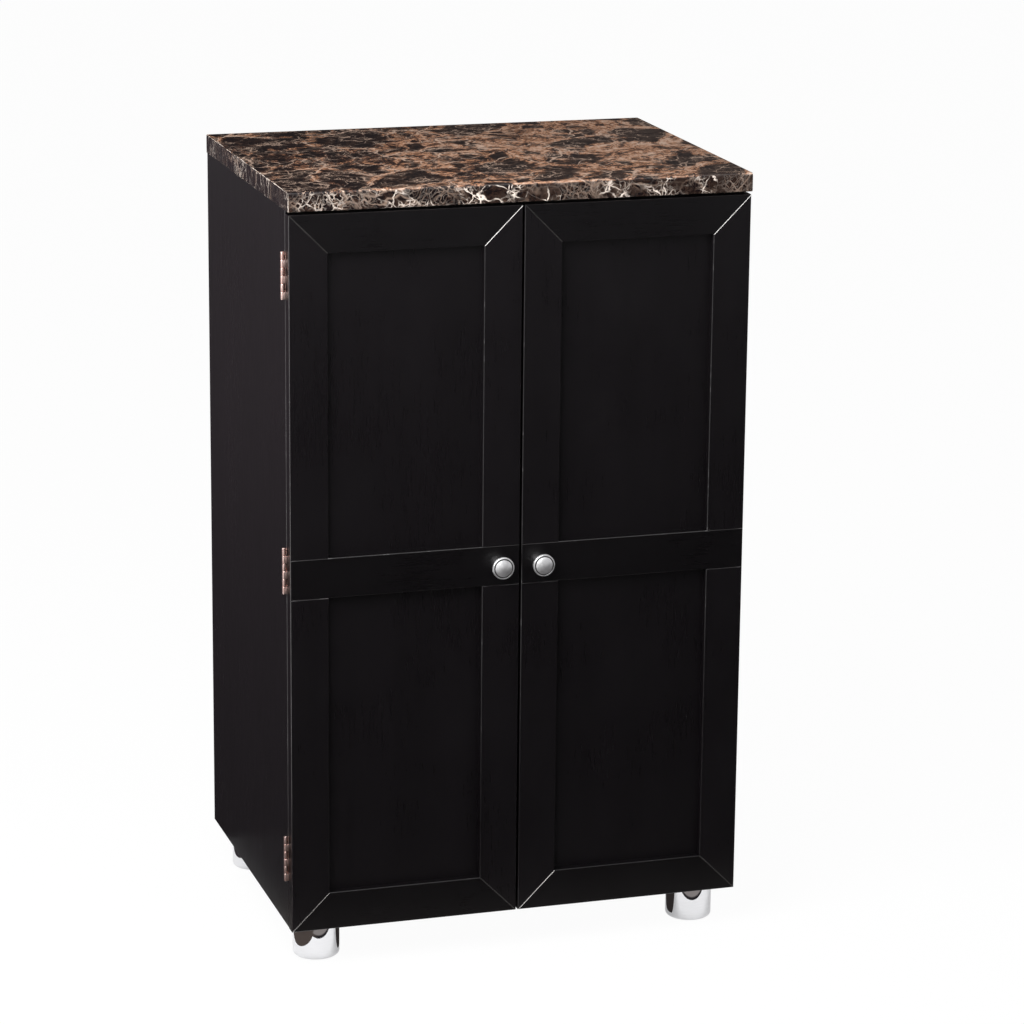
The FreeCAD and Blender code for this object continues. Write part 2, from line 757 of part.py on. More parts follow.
def build_hinges(cutters):
    """Three butt hinges a side. Adds the mortises and pilot holes that they need to the cutters."""
    carcass_screws = []
    for side, sign in SIDES.items():
        pins = []
        leaves = {"frame": [], "door": []}
        door_screws = []
        for level_name, level in HINGE_LEVELS.items():
            tag = f"{side}_{level_name}"
            low = f"{level} - hinge_length / 2"
            pin_foot = (mirrored(sign, "pin_out"), "pin_line", low)
            pin = [
                ("0", "0"),
                ("pin_radius - pin_chamfer", "0"),
                ("pin_radius", "pin_chamfer"),
                ("pin_radius", "hinge_length - pin_chamfer"),
                ("pin_radius - pin_chamfer", "hinge_length"),
                ("0", "hinge_length"),
            ]
            pins.append(turned(f"{tag}_pin", pin, pin_foot))
            for part, first, along, into in (("frame", 1, BACK, "+"), ("door", 0, FORTH, "-")):
                name = f"{tag}_{part}_leaf"
                blank = aim(leaf_blank(f"{name}_blank", sign, first, part == "door"), pin_foot)
                face = f"pin_line {into} leaf_clear"
                across = mirrored(sign, "outer - hinge_screw_inset")
                seats = []
                pilots = []
                for end_name, shift in (("low", "-"), ("high", "+")):
                    place = (across, face, f"{level} {shift} hinge_screw_spread / 2")
                    seats.append(cone(f"{name}_{end_name}_seat", "hinge_screw_head + screw_clear",
                                      "hinge_screw_radius + screw_clear", "leaf_thick", place, along))
                    screw = hinge_screw(f"{name}_{end_name}_screw", place, along)
                    (door_screws if part == "door" else carcass_screws).append(screw)
                    pilots.append(rod(f"{name}_{end_name}_pilot", "hinge_screw_radius + screw_clear",
                                      "hinge_screw_length + drill_spare", place, along))
                leaves[part].append(carved(name, blank, seats))
                floor = f"{'front' if part == 'frame' else 'door_back'} {into} leaf_sink"
                depth = (face, floor) if part == "frame" else (floor, face)
                width = span(sign, "outer - leaf_reach - mortise_clear", "pin_out")
                grown = "hinge_length / 2 + mortise_clear"
                height = (f"{level} - ({grown})", f"{level} + {grown}")
                mortise = block(f"{name}_mortise", width, depth, height)
                home = f"{side}_side_panel" if part == "frame" else f"{side}_door"
                cutters.setdefault(home, []).append(fused(f"{name}_cutter", [mortise] + pilots))
        node(together(f"{side}_pin_set", pins), f"{side}_hinge_pins")
        node(together(f"{side}_frame_leaf_set", leaves["frame"]), f"{side}_hinge_frame_leaves")
        node(together(f"{side}_door_leaf_set", leaves["door"]), f"{side}_hinge_door_leaves")
        node(together(f"{side}_door_screw_set", door_screws), f"{side}_hinge_door_screws")
    node(together("carcass_screw_set", carcass_screws), "hinge_frame_screws")


# Doors

def frame_member(name, sign, corners):
    """One frame piece: its mitred outline to the door's thickness, face edges eased all round."""
    points = [(mirrored(sign, out), level) for out, level in corners]
    body = doc.addObject("PartDesign::Body", f"{name}_blank")
    face = outline(body, f"{name}_face", "XZ_Plane", points)
    bar = feature(body, "Pad", f"{name}_bar", face, "door_thick")
    ease(body, f"{name}_eased", bar, FORTH, "arris")
    return aim(body, ("0", "door_back", "0"))


def door_panel(name, sign, low, high, spare):
    """A panel, or the groove around it, between the inner edges of the frame."""
    grown = f"panel_tongue + {spare}"
    across = span(sign, f"free_edge + frame_width - ({grown})", f"outer - frame_width + {grown}")
    face = f"door_face + panel_recess - {spare}"
    return block(name, across, (face, f"{face} + panel_thick + 2 * {spare}"),
                 (f"{low} - ({grown})", f"{high} + {grown}"))


def build_knob(side, sign):
    """A turned knob with a swept neck, a rim, a fine ring groove and a crowned face."""
    rim_top = "knob_reach - knob_crown"
    crown_edge = "knob_ring_radius - knob_ring_width"
    crown_radius = f"((({crown_edge}) ^ 2 + knob_crown ^ 2) / (2 * knob_crown))"
    hole_depth = "knob_screw_engaged + drill_spare"
    hole = "knob_screw_radius + screw_clear"
    profile = [
        (hole, "0"),
        ("knob_base_radius", "0"),
        ("knob_base_radius", "knob_base_height", "knob_neck_sweep"),
        ("knob_radius", f"{rim_top} - knob_rim_thick"),
        ("knob_radius", f"{rim_top} - knob_rim_round", "-knob_rim_round"),
        ("knob_radius - knob_rim_round", rim_top),
        ("knob_ring_radius", rim_top),
        ("knob_ring_radius - knob_ring_width / 2", f"{rim_top} - knob_ring_depth"),
        (crown_edge, rim_top, f"-{crown_radius}"),
        ("0", "knob_reach"),
        ("0", hole_depth),
        (hole, hole_depth),
    ]
    across = mirrored(sign, "knob_out")
    node(turned(f"{side}_knob_body", profile, (across, "door_face", "mid_level"), FORTH), f"{side}_knob")
    length = "knob_screw_head_thick + door_thick + knob_screw_engaged"
    head_round = "knob_screw_head_thick / 2"
    screw = [
        ("0", "0"),
        (f"knob_screw_head - {head_round}", "0", f"-{head_round}"),
        ("knob_screw_head", head_round),
        ("knob_screw_head", "knob_screw_head_thick"),
        ("knob_screw_radius", "knob_screw_head_thick"),
        ("knob_screw_radius", length),
        ("0", length),
    ]
    place = (across, "door_back + knob_screw_head_thick", "mid_level")
    node(turned(f"{side}_knob_bolt", screw, place, FORTH), f"{side}_knob_screw")
    return rod(f"{side}_knob_hole", hole, "door_thick", (across, "door_back", "mid_level"), FORTH)


def build_door(side, sign, hinge_cutters):
    out = ("free_edge", "free_edge + frame_width", "outer - frame_width", "outer")
    top, top_inner = "door_top", "door_top - frame_width"
    low, low_inner = "foot_height", "foot_height + frame_width"
    grooves = {
        "upper": door_panel(f"{side}_upper_groove", sign, "mid_high", top_inner, "panel_clear"),
        "lower": door_panel(f"{side}_lower_groove", sign, low_inner, "mid_low", "panel_clear"),
    }
    upper, lower = [grooves["upper"]], [grooves["lower"]]
    knob_hole = build_knob(side, sign)
    members = {
        "top_rail": ([(out[0], top), (out[3], top), (out[2], top_inner), (out[1], top_inner)], upper),
        "bottom_rail": ([(out[0], low), (out[3], low), (out[2], low_inner), (out[1], low_inner)], lower),
        "mid_rail": (rectangle(out[0], out[3], "mid_low", "mid_high"),
                     upper + lower + hinge_cutters + [knob_hole]),
        "upper_meeting_stile": (
            [(out[0], "mid_high"), (out[1], "mid_high"), (out[1], top_inner), (out[0], top)], upper),
        "upper_hinge_stile": (
            [(out[3], "mid_high"), (out[2], "mid_high"), (out[2], top_inner), (out[3], top)],
            upper + hinge_cutters),
        "lower_meeting_stile": (
            [(out[0], "mid_low"), (out[1], "mid_low"), (out[1], low_inner), (out[0], low)], lower),
        "lower_hinge_stile": (
            [(out[3], "mid_low"), (out[2], "mid_low"), (out[2], low_inner), (out[3], low)],
            lower + hinge_cutters),
    }
    for member, (corners, tools) in members.items():
        name = f"{side}_door_{member}"
        node(carved(f"{name}_cut", frame_member(name, sign, corners), tools), name)
    node(door_panel(f"{side}_upper_board", sign, "mid_high", top_inner, "0"), f"{side}_door_upper_panel")
    node(door_panel(f"{side}_lower_board", sign, low_inner, "mid_low", "0"), f"{side}_door_lower_panel")


# Magnetic catches

def build_catch(side, sign):
    """A catch screwed under the fixed shelf, and the strike plate that it holds on the door."""
    half = "catch_width / 2"
    case = "catch_case_width / 2"
    drop = "-(catch_flange_thick + catch_case_drop)"
    section = [
        (f"-{half}", "0"),
        (f"-{half}", "-catch_flange_thick"),
        (f"-{case}", "-catch_flange_thick"),
        (f"-{case}", drop),
        (case, drop),
        (case, "-catch_flange_thick"),
        (half, "-catch_flange_thick"),
        (half, "0"),
    ]
    across = mirrored(sign, "catch_offset")
    pole_tip = "strike_face + catch_clear"
    case_face = f"{pole_tip} + catch_pole_proud"
    case_back = "front + fixed_shelf_setback + catch_depth"
    housing = extruded(f"{side}_catch_case", "XZ_Plane", section, f"{case_back} - ({case_face})",
                       (across, case_back, "fixed_shelf_under"))
    poles = []
    for name, shift in (("upper", "+"), ("lower", "-")):
        middle = f"strike_level {shift} catch_pole_gap / 2"
        poles.append(block(f"{side}_{name}_pole",
                           (f"{across} - catch_pole_width / 2", f"{across} + catch_pole_width / 2"),
                           (pole_tip, f"{case_face} + catch_pole_proud"),
                           (f"{middle} - catch_pole_thick / 2", f"{middle} + catch_pole_thick / 2")))
    node(fused(f"{side}_catch", [housing] + poles), f"{side}_magnetic_catch")

    wide = "strike_width / 2"
    tall = "strike_height / 2"
    plate = [
        (f"-{wide} + strike_corner", f"-{tall}"),
        (f"{wide} - strike_corner", f"-{tall}", "-strike_corner"),
        (wide, f"-{tall} + strike_corner"),
        (wide, f"{tall} - strike_corner", "-strike_corner"),
        (f"{wide} - strike_corner", tall),
        (f"-{wide} + strike_corner", tall, "-strike_corner"),
        (f"-{wide}", f"{tall} - strike_corner"),
        (f"-{wide}", f"-{tall} + strike_corner", "-strike_corner"),
    ]
    strike_place = (across, "strike_face", "strike_level")
    strike = extruded(f"{side}_strike", "XZ_Plane", plate, "strike_thick", strike_place)
    node(strike, f"{side}_strike_plate")


def check_model():
    doc.recompute()
    faults = [item.Name for item in doc.Objects if {"Invalid", "Error"} & set(item.State)]
    for item in nodes:
        if item.Shape.isNull() or not item.Shape.isValid() or not item.Shape.Solids:
            faults.append(item.Label)
    if faults:
        raise RuntimeError("these objects failed: " + ", ".join(faults))


def write_parts():
    os.makedirs("parts", exist_ok=True)
    for item in nodes:
        item.Shape.exportStep(os.path.join("parts", f"{item.Label}.step"))


def main():
    fill_sheet()
    build_top()
    cutters = build_cams()
    build_hinges(cutters)
    build_feet(cutters)
    build_carcass(cutters)
    build_shelves()
    build_stemware_rails()
    build_bottle_rack()
    for side, sign in SIDES.items():
        build_door(side, sign, cutters[f"{side}_door"])
        build_catch(side, sign)
    check_model()
    write_parts()
    print(f"{len(nodes)} nodes, {sum(len(item.Shape.Solids) for item in nodes)} solids")


main()
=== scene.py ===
"""Bar cabinet: finishes, turned and pressed small parts, and a studio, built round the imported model.

Laid out as an add-on and run as a script. Lengths are in metres, and the doors face -Y.
"""
import math

import bmesh
import bpy
from mathutils import Matrix, Vector


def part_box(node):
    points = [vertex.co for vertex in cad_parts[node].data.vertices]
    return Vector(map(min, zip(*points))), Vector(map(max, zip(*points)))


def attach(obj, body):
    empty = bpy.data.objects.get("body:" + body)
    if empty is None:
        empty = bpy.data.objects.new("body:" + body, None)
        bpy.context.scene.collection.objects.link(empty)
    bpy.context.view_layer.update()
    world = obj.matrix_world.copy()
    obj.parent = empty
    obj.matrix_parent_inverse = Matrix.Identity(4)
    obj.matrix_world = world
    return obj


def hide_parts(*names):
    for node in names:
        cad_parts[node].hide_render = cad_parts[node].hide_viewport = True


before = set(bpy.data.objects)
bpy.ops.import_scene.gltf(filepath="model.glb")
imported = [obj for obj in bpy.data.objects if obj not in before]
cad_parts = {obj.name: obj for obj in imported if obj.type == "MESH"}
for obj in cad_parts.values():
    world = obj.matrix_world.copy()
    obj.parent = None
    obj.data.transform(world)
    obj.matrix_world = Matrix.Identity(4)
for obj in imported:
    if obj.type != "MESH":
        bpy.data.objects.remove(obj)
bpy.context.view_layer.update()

bl_info = {
    "name": "Bar cabinet",
    "version": (1, 0, 0),
    "blender": (4, 5, 0),
    "location": "3D View > Sidebar > Cabinet",
    "description": "Dresses the packed bar cabinet with finishes, fittings and a studio",
    "category": "Object",
}

SIDES = {"left": -1, "right": 1}
ENDS = ("front", "rear")
CARCASS = "carcass"
X, Y, Z = range(3)

# The photograph's width, the lens and its middle in pixels, and the sensor in millimetres.
IMAGE = 1024
FOCUS = 3792.0
AXIS = (542.1, 490.8)
SENSOR = 36.0

# A face attribute of the fittings, and its marks: rubbed wear, and painted shade.
WEAR_AND_SHADE = "worn"
RUBBED = 1.0
PAINTED_NECK_SHADE = -1.0

# Points closer than the first are one, and forms that join overlap by the second.
CLOSE = 1e-6
OVERLAP = 1e-4

# Edges that turn by more than the first are eased, and by more than the second are not shaded smooth.
SHARP = math.radians(40.0)
CREASE = math.radians(32.0)

# Tips a shape that stands on Z 0 over, so that it looks forward.
FORWARD = Matrix.Rotation(math.pi / 2, 4, "X")

# A pan head's height, shank and slot as shares of its radius, and its slot's depth as a share of its height.
PAN_HEIGHT = 0.4
PAN_SHANK = 0.5
PAN_SLOT = 0.58
PAN_SLOT_DEPTH = 0.6

# How much wider a bolt's cross slot is than a hinge screw's.
WIDER = 1.3

# How the lacquer's grain is drawn out, by the way that it runs, and how much darker the doors' rails are
# painted: a painted shade that keeps them less lit than the stiles.
GRAIN = {
    "up": (1.0, 1.0, 0.05),
    "across": (0.05, 1.0, 1.0),
    "rail": (0.05, 1.0, 1.0),
    "back": (1.0, 0.05, 1.0),
}
RAIL_PAINTED_SHADE = 0.62
CARCASS_BOARDS = {
    "up": ("left_side_panel", "right_side_panel"),
    "across": ("bottom_panel", "top_front_rail", "top_rear_rail", "fixed_shelf", "adjustable_shelf"),
}
DOOR_MEMBERS = {
    "rail": ("top_rail", "mid_rail", "bottom_rail"),
    "up": ("upper_meeting_stile", "upper_hinge_stile", "lower_meeting_stile", "lower_hinge_stile",
           "upper_panel", "lower_panel"),
}

# Dust in the lacquer, and the painted shade in the groove round a knob's face.
DUST = (0.06, 0.055, 0.055)
GROOVE_SHADE = (0.03, 0.03, 0.03)

# Steps round a turned part or a cradle.
ROUND = {"pin": 28, "screw": 28, "knuckle": 40, "bolt": 40, "cam": 48, "cradle": 72, "knob": 96, "foot": 128}

# The marble print's patches lie slantwise over the top, and the side bands show it pulled out.
LAY_TURN = math.radians(26.0)
LAY_STRETCH = (1.0, 0.70, 1.0)
BAND_STRETCH = (1.0, 0.9, 0.50)


# What a user would change

def number(name, description, default, **more):
    return bpy.props.FloatProperty(name=name, description=description, default=default, **more)


def length(name, description, default):
    return number(name, description, default, min=0.0, precision=5, subtype="DISTANCE", unit="LENGTH")


def share(name, description, default):
    return number(name, description, default, min=0.0, max=1.0, subtype="FACTOR")


def power(name, description, default):
    return number(name, description, default, min=0.0, unit="POWER")


def turn(name, description, degrees):
    return number(name, description, math.radians(degrees), subtype="ANGLE", unit="ROTATION")


def shift(name, description, pixels):
    return number(name, description, pixels / IMAGE, precision=4)


def count(name, description, default, least):
    return bpy.props.IntProperty(name=name, description=description, default=default, min=least)


def colour(name, description, default):
    return bpy.props.FloatVectorProperty(name=name, description=description, default=default, size=3,
                                         min=0.0, max=1.0, precision=4, subtype="COLOR")


class CabinetFinishes(bpy.types.PropertyGroup):
    """Colours and gloss of the cabinet's finishes."""

    lacquer: colour("Lacquer", "Espresso lacquer on the boards and doors", (0.0042, 0.0032, 0.0040))
    lacquer_edge: colour("Lacquer edge", "Lacquer where it is thin on an eased edge", (0.024, 0.020, 0.021))
    lacquer_mitre: colour("Lacquer mitre", "Shine along the eased edges of the mitres", (0.170, 0.163, 0.158))
    lacquer_gloss: share("Lacquer roughness", "Roughness of the satin lacquer", 0.30)
    hardboard: colour("Hardboard", "Painted face of the back panel", (0.0150, 0.0132, 0.0125))
    marble_dark: colour("Marble dark", "Nearly black patches of the laminate", (0.0065, 0.0044, 0.0046))
    marble_brown: colour("Marble brown", "Middle brown of the laminate", (0.070, 0.036, 0.026))
    marble_tan: colour("Marble tan", "Clouds of the laminate", (0.330, 0.150, 0.074))
    marble_vein: colour("Marble vein", "Veins on the top", (0.520, 0.370, 0.285))
    marble_net: colour("Marble net", "Paler veins on the edges", (0.800, 0.690, 0.605))
    copper: colour("Copper", "Antique copper where it is rubbed bright", (0.990, 0.745, 0.685))
    copper_patina: colour("Copper patina", "Antique copper where it has darkened", (0.610, 0.350, 0.300))
    nickel: colour("Nickel", "Brushed nickel of the knobs", (0.930, 0.925, 0.935))
    chrome: colour("Chrome", "Polished chrome of the feet", (0.800, 0.800, 0.815))
    steel: colour("Steel", "Zinc-plated steel of the screws and cams", (0.480, 0.485, 0.500))
    plastic: colour("Plastic", "Moulded case of the catches", (0.016, 0.016, 0.017))
    pad: colour("Glide pad", "Pressed felt under the feet", (0.150, 0.130, 0.115))


class CabinetSizes(bpy.types.PropertyGroup):
    """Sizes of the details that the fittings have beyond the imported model."""

    knuckles: count("Knuckles", "Knuckles of a butt hinge", 6, 2)
    knuckle_gap: length("Knuckle gap", "Gap between two knuckles", 0.0003)
    knuckle_round: length("Knuckle round", "Rounding at a knuckle's ends", 0.0004)
    pin_dome: length("Pin dome", "Rise of a hinge pin's domed end", 0.0004)
    leaf_thick: length("Leaf", "Thickness of a hinge leaf", 0.0012)
    leaf_clear: length("Leaf clearance", "Space between a leaf and the pin's middle plane", 0.0003)
    leaf_corner: length("Leaf corner", "Rounding at a leaf's free corners", 0.0015)
    leaf_arris: length("Leaf arris", "Rounding along a leaf's edges", 0.00015)
    neck_bulge: length("Neck bulge", "How far a door knuckle's neck stands in front of the pin", 0.0022)
    neck_slim: length("Slim neck", "Thickness of a carcass knuckle's neck", 0.0006)
    knob_base_radius: length("Knob foot", "Radius of a knob where it meets the door", 0.008)
    knob_base_height: length("Knob foot height", "Height of a knob's straight foot", 0.002)
    knob_rim: length("Knob rim", "Height of a knob's rim", 0.004)
    knob_rim_round: length("Knob rim round", "Rounding of a knob's rim", 0.0012)
    knob_crown: length("Knob crown", "Rise of a knob's crowned face", 0.003)
    knob_ring: length("Knob ring", "Outer radius of the groove round a knob's face", 0.0131)
    knob_ring_width: length("Knob ring width", "Width of that groove", 0.0014)
    knob_ring_depth: length("Knob ring depth", "Depth of that groove", 0.0010)
    foot_round: length("Foot round", "Rounding at a foot's lower edge", 0.005)
    foot_lip: length("Foot lip", "Rounding at a foot's upper edge", 0.0008)
    foot_wall: length("Foot wall", "Wall of a foot's cup", 0.0025)
    foot_floor: length("Foot floor", "Floor of a foot's cup", 0.005)
    rail_arris: length("Rail arris", "Rounding along the edges of the racks' rails", 0.0012)
    stem_flange: length("Stemware flange", "Thickness of a stemware rail's flange", 0.009)
    stem_web: length("Stemware web", "Width of a stemware rail's web", 0.014)
    bottles: count("Bottles", "Cradles in a rack rail", 5, 1)
    bottle_pitch: length("Bottle pitch", "Distance from one cradle to the next", 0.116)
    bottle_radius: length("Bottle radius", "Radius of a cradle", 0.042)
    catch_arris: length("Catch arris", "Rounding along a catch's edges", 0.0006)
    catch_flange: length("Catch flange", "Thickness of a catch's flange", 0.003)
    catch_case: length("Catch case", "Width of a catch's case", 0.030)
    pole_width: length("Pole width", "Width of a catch's two steel poles", 0.016)
    pole_thick: length("Pole", "Thickness of a pole", 0.002)
    pole_gap: length("Pole gap", "Gap between the poles", 0.005)
    pole_proud: length("Pole stand", "How far the poles stand out of the case", 0.001)
    strike_corner: length("Strike corner", "Rounding at a strike plate's corners", 0.002)
    slot_width: length("Cross slot", "Width of a screw's cross slot", 0.0009)


class CabinetStudio(bpy.types.PropertyGroup):
    """Camera, lamps and floor."""

    camera: bpy.props.FloatVectorProperty(
        name="Camera", description="Place of the camera", default=(-1.4669, -4.8966, 1.9396), size=3,
        precision=4, subtype="TRANSLATION", unit="LENGTH")
    yaw: turn("Yaw", "How far the camera looks to the right of straight back", 17.761)
    pitch: turn("Pitch", "How far the camera looks down", 14.749)
    roll: turn("Roll", "How far the camera leans", 0.687)
    lens: number("Lens", "Focal length of the camera", FOCUS * SENSOR / IMAGE, unit="CAMERA")
    shift_across: shift("Shift across", "Sideways shift of the lens", IMAGE / 2 - AXIS[0])
    shift_up: shift("Shift up", "Upward shift of the lens", AXIS[1] - IMAGE / 2)
    floor: colour("Floor", "Pale floor and backdrop", (0.86, 0.86, 0.86))
    key_power: power("Key", "Power of the large lamp at the upper left", 54.0)
    top_power: power("Overhead", "Power of the lamp overhead", 14.0)
    fill_power: power("Fill", "Power of the weak lamp at the right", 5.0)


# Shader nodes

def worked(operation, reflected=False):
    """A method that adds a Math node for a value and what it is worked with."""
    def method(self, *others):
        terms = (*others, self) if reflected else (self, *others)
        return self.finish.node("ShaderNodeMath", {"operation": operation}, dict(enumerate(terms)))
    return method


class Value:
    """What one output of a node gives. Sums with it add Math nodes beside that node."""

    def __init__(self, finish, socket):
        self.finish = finish
        self.socket = socket

    def output(self, name):
        return Value(self.finish, self.socket.node.outputs[name])

    __add__, __radd__ = worked("ADD"), worked("ADD", True)
    __sub__, __rsub__ = worked("SUBTRACT"), worked("SUBTRACT", True)
    __mul__, __rmul__ = worked("MULTIPLY"), worked("MULTIPLY", True)
    __pow__ = worked("POWER")
    __abs__ = worked("ABSOLUTE")
    most = worked("MAXIMUM")
    least = worked("MINIMUM")

    def ramp(self, low, high, first=0.0, last=1.0):
        """A smooth step from first to last as the value goes from low to high."""
        sockets = {"Value": self, "From Min": low, "From Max": high, "To Min": first, "To Max": last}
        return self.finish.node("ShaderNodeMapRange", {"interpolation_type": "SMOOTHSTEP"}, sockets)


class Finish:
    """The nodes of one material, or of the world."""

    def __init__(self, tree):
        self.tree = tree
        self.tree.nodes.clear()

    def node(self, kind, settings, sockets, output=0):
        made = self.tree.nodes.new(kind)
        for name, setting in settings.items():
            if name == "stops":
                self.set_stops(made.color_ramp, setting)
            else:
                setattr(made, name, setting)
        for name, given in sockets.items():
            self.feed(made.inputs[name], given)
        return Value(self, made.outputs[output]) if made.outputs else made

    def set_stops(self, ramp, stops):
        while len(ramp.elements) < len(stops):
            ramp.elements.new(1.0)
        for element, (place, tint) in zip(ramp.elements, stops):
            element.position = place
            element.color = (*tint, 1.0)

    def feed(self, socket, given):
        if isinstance(given, Value):
            self.tree.links.new(given.socket, socket)
        elif socket.type == "RGBA":
            socket.default_value = (*given, 1.0)
        else:
            socket.default_value = given

    def blend(self, factor, first, second):
        return self.node("ShaderNodeMix", {"data_type": "RGBA"}, {0: factor, 6: first, 7: second}, 2)

    def noise(self, where, scale, detail=3.0, roughness=0.6, output=0):
        sockets = {"Vector": where, "Scale": scale, "Detail": detail, "Roughness": roughness}
        return self.node("ShaderNodeTexNoise", {}, sockets, output)

    def cells(self, where, scale, feature, output=0):
        sockets = {"Vector": where, "Scale": scale}
        return self.node("ShaderNodeTexVoronoi", {"feature": feature}, sockets, output)

    def border(self, where, scale):
        """How far it is to the nearest border between cells."""
        return self.cells(where, scale, "DISTANCE_TO_EDGE")

    def lot(self, where, scale):
        """A number drawn for each cell."""
        return self.node("ShaderNodeSeparateColor", {}, {0: self.cells(where, scale, "F1", "Color")})

    def pushed(self, where, scale, amount):
        """Places moved about by a noise, by at most half the amount to each side."""
        push = self.noise(where, scale, 3.0, 0.55, 1)
        sockets = {0: push, 1: (amount, amount, amount), 2: where}
        return self.node("ShaderNodeVectorMath", {"operation": "MULTIPLY_ADD"}, sockets)

    def mapped(self, where, scale=(1.0, 1.0, 1.0), turn=0.0):
        sockets = {"Vector": where, "Rotation": (0.0, 0.0, turn), "Scale": scale}
        return self.node("ShaderNodeMapping", {}, sockets)

    def places(self):
        return self.node("ShaderNodeTexCoord", {}, {}, "Object")

    def parts(self, vector):
        """What a vector has along X, Y and Z."""
        split = self.node("ShaderNodeSeparateXYZ", {}, {0: vector})
        return split, split.output("Y"), split.output("Z")

    def facing(self):
        """The parts of the surface's own direction."""
        return self.parts(self.node("ShaderNodeTexCoord", {}, {}, "Normal"))

    def eased(self):
        """1 on eased edges and 0 on faces square to the cabinet, for all edges and for those of mitres."""
        across, back, up = map(abs, self.facing())
        slant = (1.0 - across.most(back).most(up)).ramp(0.06, 0.22)
        return slant, slant * across.least(up).ramp(0.20, 0.40)

    def worn(self):
        """1 on the edges that a fitting's rounding made, -1 where shade is painted, 0 elsewhere."""
        return self.node("ShaderNodeAttribute", {"attribute_name": WEAR_AND_SHADE}, {}, "Fac")

    def bump(self, height, strength, distance):
        return self.node("ShaderNodeBump", {}, {"Height": height, "Strength": strength, "Distance": distance})

    def end(self, shader):
        self.node("ShaderNodeOutputMaterial", {}, {"Surface": shader})

    def surface(self, **sockets):
        """End in a Principled shader. Underscores stand for spaces in its sockets' names."""
        named = {name.replace("_", " "): given for name, given in sockets.items()}
        self.end(self.node("ShaderNodeBsdfPrincipled", {}, named))

    def shine(self, tone):
        return self.node("ShaderNodeEmission", {}, {"Color": tone, "Strength": 1.0})


def start_finish(name):
    material = bpy.data.materials.new(name)
    material.use_nodes = True
    return material, Finish(material.node_tree)


def finish(name):
    """Turn a function that lays a finish's nodes into one that gives its material, made once."""
    def wrapped(lay):
        made = {}

        def material_for(*kind):
            if kind not in made:
                made[kind], nodes = start_finish("_".join((name, *kind)))
                lay(nodes, bpy.context.scene.cabinet_finishes, *kind)
            return made[kind]
        return material_for
    return wrapped


def scaled(tint, factor):
    return tuple(factor * level for level in tint)


# Finishes

@finish("espresso_lacquer")
def lacquer(paint, look, run):
    """Satin espresso lacquer: faint grain under it, a slight ripple, thin on eased edges.

    The outer corners are rubbed most, the edges are dimmed towards the bottom as painted shade, the mitres'
    edges shine, and the doors' rails are painted darker as painted shade.
    """
    where = paint.places()
    along = paint.mapped(where, GRAIN[run])
    grain = paint.noise(along, 420.0, 5.0, 0.6)
    broad = paint.noise(along, 38.0, 3.0, 0.5)
    ripple = paint.noise(where, 260.0, 2.0, 0.5)
    cloud = paint.noise(where, 6.0, 4.0, 0.6)
    dust = paint.cells(where, 160.0, "F1").ramp(0.10, 0.03)
    dust = dust * paint.noise(where, 9.0, 2.0, 0.5).ramp(0.55, 0.72)
    slant, mitre = paint.eased()
    across, _, up = paint.parts(where)
    corner = abs(across).ramp(0.306, 0.314, 0.27, 1.0).most(0.55 * mitre)
    # Edges are dimmed towards the bottom, except near the outer corners: a painted shade.
    height = up.ramp(0.08, 0.50, 0.35, 1.0).most(corner.ramp(0.5, 0.9))
    fleck = paint.noise(where, 70.0).ramp(0.58, 0.68, 0.0, 0.7)
    rub = paint.noise(where, 22.0).ramp(0.25, 0.65, 0.55, 1.0)
    edge = slant * height * (corner * rub + fleck)
    glint = mitre * paint.noise(where, 30.0).ramp(0.30, 0.60, 0.80, 1.0)
    # The doors' rails are painted darker: a painted shade.
    body = scaled(look.lacquer, RAIL_PAINTED_SHADE if run == "rail" else 1.0)
    deep = scaled(body, 0.80)
    tone = paint.blend((0.6 * broad + 0.4 * cloud).ramp(0.3, 0.7), deep, body)
    tone = paint.blend(edge, tone, look.lacquer_edge)
    tone = paint.blend(glint, tone, look.lacquer_mitre)
    tone = paint.blend(0.25 * dust, tone, DUST)
    gloss = look.lacquer_gloss + 0.16 * (cloud - 0.5) + 0.14 * (grain - 0.5) + 0.15 * dust
    relief = 0.55 * ripple + 0.45 * grain
    paint.surface(Base_Color=tone, Metallic=glint.ramp(0.0, 0.4, 0.0, 0.9), Roughness=gloss,
                  Specular_IOR_Level=0.35, Coat_Weight=edge, Coat_Roughness=0.12, Coat_IOR=1.7,
                  Normal=paint.bump(relief, 0.15, 0.00025))


@finish("black_hardboard")
def hardboard(paint, look):
    """Painted hardboard with short fibres showing through."""
    where = paint.places()
    fibre = paint.noise(paint.pushed(where, 90.0, 0.012), 600.0, 4.0, 0.65)
    patch = paint.noise(where, 14.0, 3.0, 0.5)
    pale = scaled(look.hardboard, 1.9)
    tone = paint.blend((0.5 * fibre + 0.5 * patch).ramp(0.35, 0.75), look.hardboard, pale)
    paint.surface(Base_Color=tone, Roughness=0.55 + 0.25 * (fibre - 0.5), Specular_IOR_Level=0.25,
                  Normal=paint.bump(fibre, 0.18, 0.0003))


